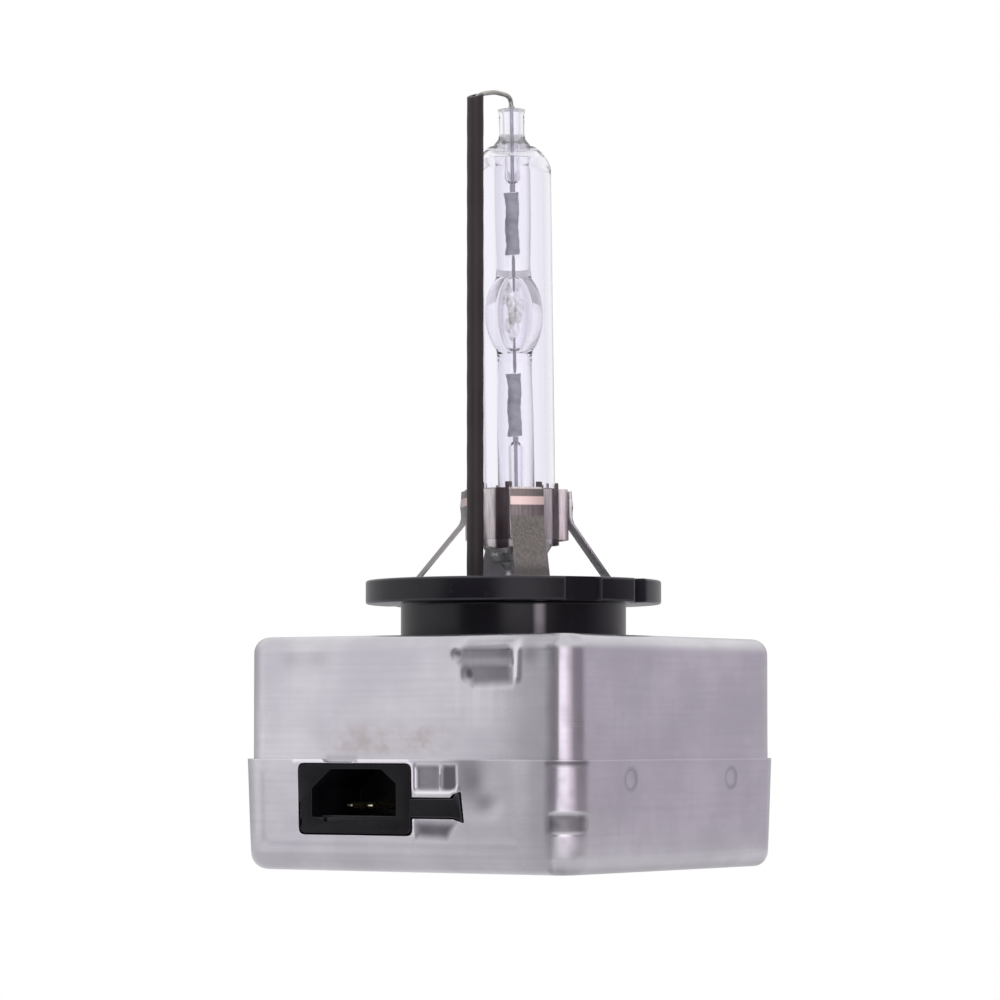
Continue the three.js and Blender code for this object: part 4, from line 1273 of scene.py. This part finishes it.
def foil(name, node):
    """A rolled foil with knife edges, slightly rippled, with torn-looking ends."""
    low, high = (v.z for v in extent(node))
    width, thickness = 1.45, 0.05
    rows, columns = 48, 12
    points, faces = [], []
    wobble = np.random.default_rng(len(name))
    for side in (1, -1):
        for i in range(rows + 1):
            share = i / rows
            flare = 1 + 0.10 * sum(math.exp(-(((share - at) / 0.06) ** 2)) for at in (0.03, 0.97))
            for j in range(columns + 1):
                u = -1 + 2 * j / columns
                body = thickness * (1 - u * u) * 0.5 + 0.004
                ripple = 0.03 * math.sin(share * 41 + 2.1 * u) * (1 - 0.5 * u * u)
                ripple += 0.05 * math.sin(share * 11 + 3)
                torn = 0.04 * wobble.uniform(-1, 1) * (share in (0, 1))
                z = low + (high - low) * share + torn
                points.append((side * body + ripple, u * width / 2 * flare, z))
    size = columns + 1
    back = size * (rows + 1)
    for i in range(rows):
        for j in range(columns):
            a = i * size + j
            quad = [a, a + 1, a + size + 1, a + size]
            faces += [quad, [back + corner for corner in reversed(quad)]]
    edges = [(i * size + j, size) for i in range(rows) for j in (0, columns)]
    edges += [(i * size + j, 1) for i in (0, rows) for j in range(columns)]
    faces += [[a, a + step, back + a + step, back + a] for a, step in edges]
    mesh = leaned(turned_by(solid(name, points, faces), FOIL_TURN))
    place_piece(name, mesh, molybdenum, [node], 50)


def electrode(name, node, tip_up):
    """A tungsten rod with a rounded tip in the chamber and a flattened tail on the foil."""
    low, high = (v.z for v in extent(node))
    radius, length = 0.12, high - low
    profile = [(0, 0), (radius * 0.6, 0.02), (radius * 0.9, 0.08), (radius, 0.16)]
    profile += [(radius, length - 0.6), (radius * 0.8, length - 0.2)]
    profile += [(radius * 0.5, length), (0, length)]
    mesh = turned(name, profile, 32)
    if tip_up:
        mesh.transform(Matrix.Rotation(math.pi, 4, "X"))
    mesh.transform(Matrix.Translation((0, 0, high if tip_up else low)))
    place_piece(name, leaned(mesh), tungsten, [node], 50)


def lead(name, node):
    low, high = (v.z for v in extent(node))
    radius = 0.19
    profile = [(0, low), (radius, low), (radius, high), (0, high)]
    profile = eased(profile, [0, 0.06, 0.06, 0], closed=False)
    place_piece(name, leaned(turned(name, profile, 32)), lead_metal, [node], 50)


def salt_film():
    """Droplets and a thin film of dried salts on the wall of the chamber."""
    low, high = extent("halide_salts")
    middle = (low + high) / 2
    towards = math.atan2(middle.y, middle.x)
    drops = np.random.default_rng(21)
    places = []
    for _ in range(26):
        z = LIGHT_CENTRE + drops.uniform(-2.2, 2.9)
        places.append((z, towards + drops.normal(-0.1, 0.55), drops.uniform(0.25, 0.6)))
    film = bmesh.new()
    for z, angle, size in places:
        share = (z - LIGHT_CENTRE) / CHAMBER_HALF
        wall = CHAMBER_RADIUS * math.sqrt(1 - share * share) - 0.04
        flat = Matrix.Diagonal((0.08, 1.0, drops.uniform(0.9, 1.8), 1.0))
        place = Matrix.Rotation(angle, 4, "Z") @ Matrix.Translation((wall, 0, z)) @ flat
        bmesh.ops.create_icosphere(film, subdivisions=2, radius=size, matrix=place)
    mesh = leaned(from_bmesh("salt_film", film))
    place_piece("salt_film", mesh, salt, ["halide_salts"], 60)


outer_envelope()
arc_tube()
foil("upper_seal_foil", "upper_foil")
foil("lower_seal_foil", "lower_foil")
electrode("upper_tungsten_rod", "upper_electrode", False)
electrode("lower_tungsten_rod", "lower_electrode", True)
lead("upper_lead_wire", "upper_lead")
lead("lower_lead_wire", "lower_lead")
salt_film()

# ------------------------------------------------------------------ return conductor

TUBE_RADIUS = 0.84
TUBE_BORE = 0.36
TUBE_SLANT = math.tan(math.radians(21))
WIRE_RADIUS = 0.235
WELD_RADIUS = 0.34
tube_low, tube_high = extent("return_insulator_tube")
wire_low, wire_high = extent("return_wire")


def insulator_tube():
    """A ceramic tube with a ground, slanted upper end."""
    bore, radius = TUBE_BORE, TUBE_RADIUS
    low, top = tube_low.z, tube_high.z + 0.3
    heights = [low + (top - low) * i / 60 for i in range(1, 60)]
    profile = [(bore, low), (radius, low)]
    profile += [(radius + 0.012 * math.sin(z * 1.7), z) for z in heights]
    profile += [(radius, top - 0.06), (radius - 0.05, top), (bore + 0.05, top)]
    profile += [(bore, top - 0.05)] + [(bore, z) for z in reversed(heights[::10])]
    mesh = turned("insulator", profile, 48)
    for vert in mesh.vertices:
        vert.co.z += TUBE_SLANT * vert.co.y * max(0.0, vert.co.z - (top - 1.0))
    mesh.transform(Matrix.Translation((0, RETURN_Y, 0)))
    nodes = ["return_insulator_tube"]
    place_piece("ceramic_tube", mesh, brown_ceramic, nodes, 40)


def wire_tree():
    """A tree that carries a round section along the carrier's edges."""
    inputs = {"Radius": "Float", "Sides": "Int", "Material": "Material"}
    grower = Grower("wire_along_path", inputs)
    radius, sides = grower.value("Radius"), grower.value("Sides")
    curve = grower.node("GeometryNodeMeshToCurve", None, {"Mesh": grower.value("Geometry")})
    section = {"Resolution": sides, "Radius": radius}
    ring = grower.node("GeometryNodeCurvePrimitiveCircle", None, section)
    inputs = {"Curve": curve, "Profile Curve": ring, "Fill Caps": True}
    return grower.end(grower.node("GeometryNodeCurveToMesh", None, inputs))


along_path = wire_tree()


def wire_on(route, radius, sides, material):
    """A round wire along a route of points."""
    edges = [(i, i + 1) for i in range(len(route) - 1)]
    inputs = {"Radius": radius, "Sides": sides, "Material": material}
    return along_path.grow(new_mesh("path", route, [], edges), inputs)


def return_wire():
    """The wire leaves its tube, bends over to the axis and is welded on the burner's upper lead."""
    crest = wire_high.z - WIRE_RADIUS
    shift = lean_at(burner_high.z)
    end = Vector((shift * LEAN_X, shift * LEAN_Y, burner_high.z - 0.1))
    corners = [(0, RETURN_Y, wire_low.z), (0, RETURN_Y, tube_high.z + 0.1)]
    corners += [(0, RETURN_Y + 1.4, crest - 0.1), (0, -3.4, crest + 0.32)]
    corners += [(0, -1.3, crest + 0.30), (end.x, end.y - 0.15, crest + 0.05), end]
    route = eased(corners, [0, 1.2, 4.0, 6.0, 2.5, 1.2, 0], closed=False, steps=10)
    wire = wire_on(route, WIRE_RADIUS, 20, nickel)
    ball = bmesh.new()
    place = Matrix.Translation((end.x, end.y, burner_high.z + 0.2))
    place = place @ Matrix.Diagonal((1, 1, 0.8, 1))
    sizes = {"u_segments": 24, "v_segments": 14, "radius": WELD_RADIUS}
    bmesh.ops.create_uvsphere(ball, matrix=place, **sizes)
    mesh = joined("return_lead", wire, from_bmesh("weld", ball, outward=False))
    place_piece("return_lead", mesh, nickel, ["return_wire"], 50)


insulator_tube()
return_wire()

# ------------------------------------------------------------------ connector

SOCKET_LEFT, SOCKET_RIGHT = -10.6, -0.4
SOCKET_BOTTOM, SOCKET_TOP = 5.3, 10.05
SOCKET_FLOOR = -11.8
PIN_NODES = {"left_pin": "connector_pin_left", "right_pin": "connector_pin_right"}
PIN_Z = 6.4
PIN_HALF = 0.32
PIN_HOLE_HALF = 0.37


def connector_shroud():
    """The moulded mouth that the cable plug enters, with its guide bar."""
    front, back = shroud_low.y, shroud_high.y
    left, high = shroud_low.x, shroud_high.z
    outline = [(left + 0.25, 3.75), (MOUTH_RIGHT, 3.75), (MOUTH_RIGHT, high), (left, high)]
    outline += [(left, 6.9), (left + 0.22, 6.7), (left + 0.22, 5.3), (left + 0.45, 5.0)]
    outline = eased(outline, [0.8, 0.8, 0.7, 0.8, 0.2, 0.2, 0.2, 0.2], steps=5)
    body = raised("shroud", outline, front, back, "Y")
    socket = [(SOCKET_LEFT, SOCKET_BOTTOM), (SOCKET_RIGHT, SOCKET_BOTTOM)]
    socket += [(SOCKET_RIGHT, SOCKET_TOP - 1.4), (SOCKET_RIGHT - 1.8, SOCKET_TOP)]
    socket += [(SOCKET_LEFT + 2.3, SOCKET_TOP), (SOCKET_LEFT, SOCKET_TOP - 1.9)]
    cuts = [raised("hollow", eased(socket, 0.3), front - 1, SOCKET_FLOOR, "Y")]
    key = rectangle((-9.2, -8.7), (4.85, 5.6))
    cuts.append(raised("key", key, front - 1, front + 3, "Y"))
    for node in PIN_NODES.values():
        low, high = extent(node)
        across, up = (low.x - 0.05, high.x + 0.05), (PIN_Z - PIN_HOLE_HALF, PIN_Z + PIN_HOLE_HALF)
        cuts.append(raised("hole", rectangle(across, up), SOCKET_FLOOR - 1, back + 1, "Y"))
    mouth = bevelled(carved(body, *cuts), 0.14, 3, 40)
    bar = [(1.0, 5.4), (6.3, 5.4), (6.7, 5.3), (7.4, 4.95), (7.25, 6.0), (7.0, 7.75)]
    bar += [(6.55, 7.75), (6.3, 7.25), (1.0, 7.2)]
    bar = bevelled(raised("bar", bar, front + 0.02, front + 1.1, "Y"), 0.12, 3, 40)
    ledge = rectangle(
        (SOCKET_LEFT + 0.3, SOCKET_RIGHT - 0.3), (SOCKET_BOTTOM - 0.05, SOCKET_BOTTOM + 0.18)
    )
    rib = raised("rib", ledge, front + 1.2, SOCKET_FLOOR + 0.2, "Y")
    mesh = joined("plug_mouth", mouth, bar, bevelled(rib, 0.08, 2, 40))
    nodes = ["connector_shroud"]
    place_piece("plug_mouth", mesh, plug_black, nodes, 34)


def contact_pin(name, node):
    """A square pin with a coined tip, bent down behind the mouth."""
    low, high = extent(node)
    middle = (low.x + high.x) / 2
    half, tip, bend = PIN_HALF, low.y + 0.55, high.y - 2 * PIN_HALF
    side = [(low.y, PIN_Z - 0.12), (tip, PIN_Z - half), (bend, PIN_Z - half), (bend, low.z)]
    side += [(high.y, low.z), (high.y, PIN_Z + half), (tip, PIN_Z + half)]
    side += [(low.y, PIN_Z + 0.12)]
    mesh = bevelled(raised(name, side, middle - half, middle + half, "X"), 0.06, 3, 30)
    place_piece(name, mesh, pin_plating, [node], 34)


connector_shroud()
for pin, node in PIN_NODES.items():
    contact_pin(pin, node)

# ------------------------------------------------------------------ inner parts

BOBBIN_RADIUS = 4.06


def winding(name, node, wire, material):
    """A winding of one layer of round turns in its room of the bobbin, over a filled core."""
    low, high = extent(node)
    centre = (low + high) / 2
    length = high.x - low.x
    radius = (high.y - low.y) / 2 - wire / 2
    pitch = wire * 1.06
    turns = max(2, int((length - wire) / pitch))
    sides = 20
    route = []
    for k in range(turns * sides + 1):
        angle = 2 * math.pi * k / sides
        x = low.x + wire / 2 + k / sides * pitch
        y, z = centre.y + radius * math.cos(angle), centre.z + radius * math.sin(angle)
        route.append((x, y, z))
    mesh = wire_on(route, wire / 2, 6, material)
    filled = rectangle((BOBBIN_RADIUS, radius - wire), (0.02, length - 0.02))
    core = turned("core", filled, 48)
    core.transform(Matrix.Rotation(math.pi / 2, 4, "Y"))
    core.transform(Matrix.Translation((low.x, centre.y, centre.z)))
    place_piece(name, joined(name, mesh, core), material, [node], 50)


for room in range(1, 5):
    secondary = f"secondary_winding_{room}"
    winding(f"wound_room_{room}", secondary, 0.26, enamelled)
winding("wound_primary", "primary_winding", 0.62, copper)

KEPT = {
    "ignitor_case": case_black,
    "ignitor_case_lid": case_black,
    "carrier_plate": board_resin,
    "transformer_core": ferrite,
    "transformer_bobbin": bobbin_moulding,
    "spark_gap_body": white_ceramic,
    "spark_gap_cap_left": nickel,
    "spark_gap_cap_right": nickel,
    "ignition_capacitor": dipped_yellow,
    "bleed_resistor": blue_lacquer,
    "high_voltage_terminal": nickel,
    "high_voltage_link": copper,
    "return_terminal": copper,
}
for node, material in KEPT.items():
    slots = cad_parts[node].data.materials
    slots.clear()
    slots.append(material)

# ------------------------------------------------------------------ floor, light and camera

# How bright the room is all round: the angle from -Y towards +X, and the colour there.
ROOM_LEVELS = [
    (-180, 0.65, 0.65, 0.66), (-160, 0.55, 0.55, 0.56), (-115, 0.55, 0.55, 0.56),
    (-80, 0.85, 0.85, 0.87), (-55, 1.24, 1.22, 1.26), (-27, 1.14, 1.12, 1.16),
    (-17, 0.29, 0.26, 0.30), (18, 0.27, 0.24, 0.28), (26, 1.60, 1.50, 1.62),
    (34, 1.95, 1.83, 1.97), (50, 1.95, 1.80, 1.95), (58, 1.45, 1.28, 1.42),
    (68, 1.10, 0.95, 1.07), (80, 0.38, 0.33, 0.37), (112, 0.35, 0.31, 0.36),
    (136, 0.71, 0.65, 0.74), (165, 0.75, 0.71, 0.77), (180, 0.65, 0.65, 0.66),
]
# The same for what is seen through the quartz.
TENT_LEVELS = [
    (-180, 0.88, 0.87, 0.90), (-168, 0.93, 0.92, 0.95), (-158, 0.97, 0.97, 0.99),
    (-120, 1.0, 1.0, 1.0), (-92, 0.62, 0.61, 0.64), (-55, 0.88, 0.87, 0.90),
    (-10, 0.94, 0.94, 0.96), (40, 0.96, 0.96, 0.98), (70, 0.80, 0.79, 0.82),
    (92, 0.56, 0.55, 0.59), (125, 0.66, 0.65, 0.69), (152, 0.80, 0.79, 0.83),
    (172, 0.86, 0.85, 0.89), (180, 0.88, 0.87, 0.90),
]
OVERHEAD = 1.15
# What the floor sends up, as a share of the room's light, and its even level near the base.
FLOOR_SHARE = 0.95
FLOOR_NEAR = (0.92, 0.90, 0.93)
FLOOR_RADIUS = 0.9
WHITE = (1, 1, 1, 1)
CAMERA_DISTANCE, CAMERA_HEIGHT = 420.0, 13.57
CAMERA_AZIMUTH, CAMERA_TILT, CAMERA_PAN = 33.8, 3.225, 0.186
CAMERA_LENS = 148.9


def levels_round(graph, x, y, levels):
    """A colour by direction from the axis, and the strength that brings it to its level."""
    peak = max(max(colour) for _, *colour in levels)
    stops = [((angle + 180) / 360, [c / peak for c in colour]) for angle, *colour in levels]
    turn = graph.azimuth(x, y) / (2 * math.pi) + 0.5
    return graph.node("ShaderNodeValToRGB", {"stops": stops}, {0: turn}), peak


def studio_floor():
    """Paper that is white to the camera and gives back the room's light to the object."""
    built = bmesh.new()
    bmesh.ops.create_circle(built, cap_ends=True, segments=96, radius=FLOOR_RADIUS)
    mesh = from_bmesh("floor", built, outward=False)
    paper = Finish("floor_paper", Roughness=0.8, Specular_IOR_Level=0.2)
    x, y, _ = paper.axes()
    around, peak = levels_round(paper, x, y, ROOM_LEVELS)
    shade = paper.mix(paper.reach(x, y).step(38.0, 75.0), shaded(FLOOR_NEAR, 1 / peak), around)
    light = {"Color": shade, "Strength": peak * FLOOR_SHARE}
    glow = paper.node("ShaderNodeEmission", None, light)
    white = paper.node("ShaderNodeEmission", None, {"Color": WHITE, "Strength": 1.0})
    direct = paper.node("ShaderNodeLightPath", output="Is Camera Ray")
    shown = paper.node("ShaderNodeMixShader", None, {0: direct, 1: glow, 2: white})
    paper.put(paper.tree.nodes["Material Output"].inputs["Surface"], shown)
    mesh.materials.append(paper.material)
    floor = bpy.data.objects.new("floor", mesh)
    scene.collection.objects.link(floor)


def studio_light():
    """A white room with softboxes round the object, brighter and darker by direction."""
    world = bpy.data.worlds.new("studio")
    world.use_nodes = True
    scene.world = world
    room = Graph(world.node_tree)
    x, y, z = room.split(room.node("ShaderNodeTexCoord", output="Generated"))
    around, peak = levels_round(room, x, y, ROOM_LEVELS)
    tent, tent_peak = levels_round(room, x, y, TENT_LEVELS)
    studio = room.mix(z.step(0.08, 0.6), around, (OVERHEAD / peak,) * 3)
    room.tree.nodes.remove(room.tree.nodes["Background"])
    lit, through, plain = (
        room.node("ShaderNodeBackground", None, {"Color": colour, "Strength": strength})
        for colour, strength in ((studio, peak), (tent, tent_peak), (WHITE, 1.0))
    )
    depth = room.node("ShaderNodeLightPath", output="Transmission Depth")
    direct = room.node("ShaderNodeLightPath", output="Is Camera Ray")
    shares = {0: depth.step(0.4, 0.6), 1: lit, 2: through}
    shown = room.node("ShaderNodeMixShader", None, shares)
    shown = room.node("ShaderNodeMixShader", None, {0: direct, 1: shown, 2: plain})
    room.put(world.node_tree.nodes["World Output"].inputs["Surface"], shown)


def studio_camera():
    camera = bpy.data.cameras.new("camera")
    camera.sensor_width = 36.0
    camera.lens = CAMERA_LENS
    camera.clip_start = 0.01
    camera.clip_end = 10.0
    holder = bpy.data.objects.new("camera", camera)
    scene.collection.objects.link(holder)
    azimuth = math.radians(CAMERA_AZIMUTH)
    side, back = math.sin(azimuth) * CAMERA_DISTANCE, -math.cos(azimuth) * CAMERA_DISTANCE
    holder.location = Vector((side, back, CAMERA_HEIGHT)) * MM
    tilt = math.radians(90 + CAMERA_TILT)
    holder.rotation_euler = (tilt, 0, azimuth + math.radians(CAMERA_PAN))
    scene.camera = holder


studio_floor()
studio_light()
studio_camera()
scene.view_settings.view_transform = "Standard"
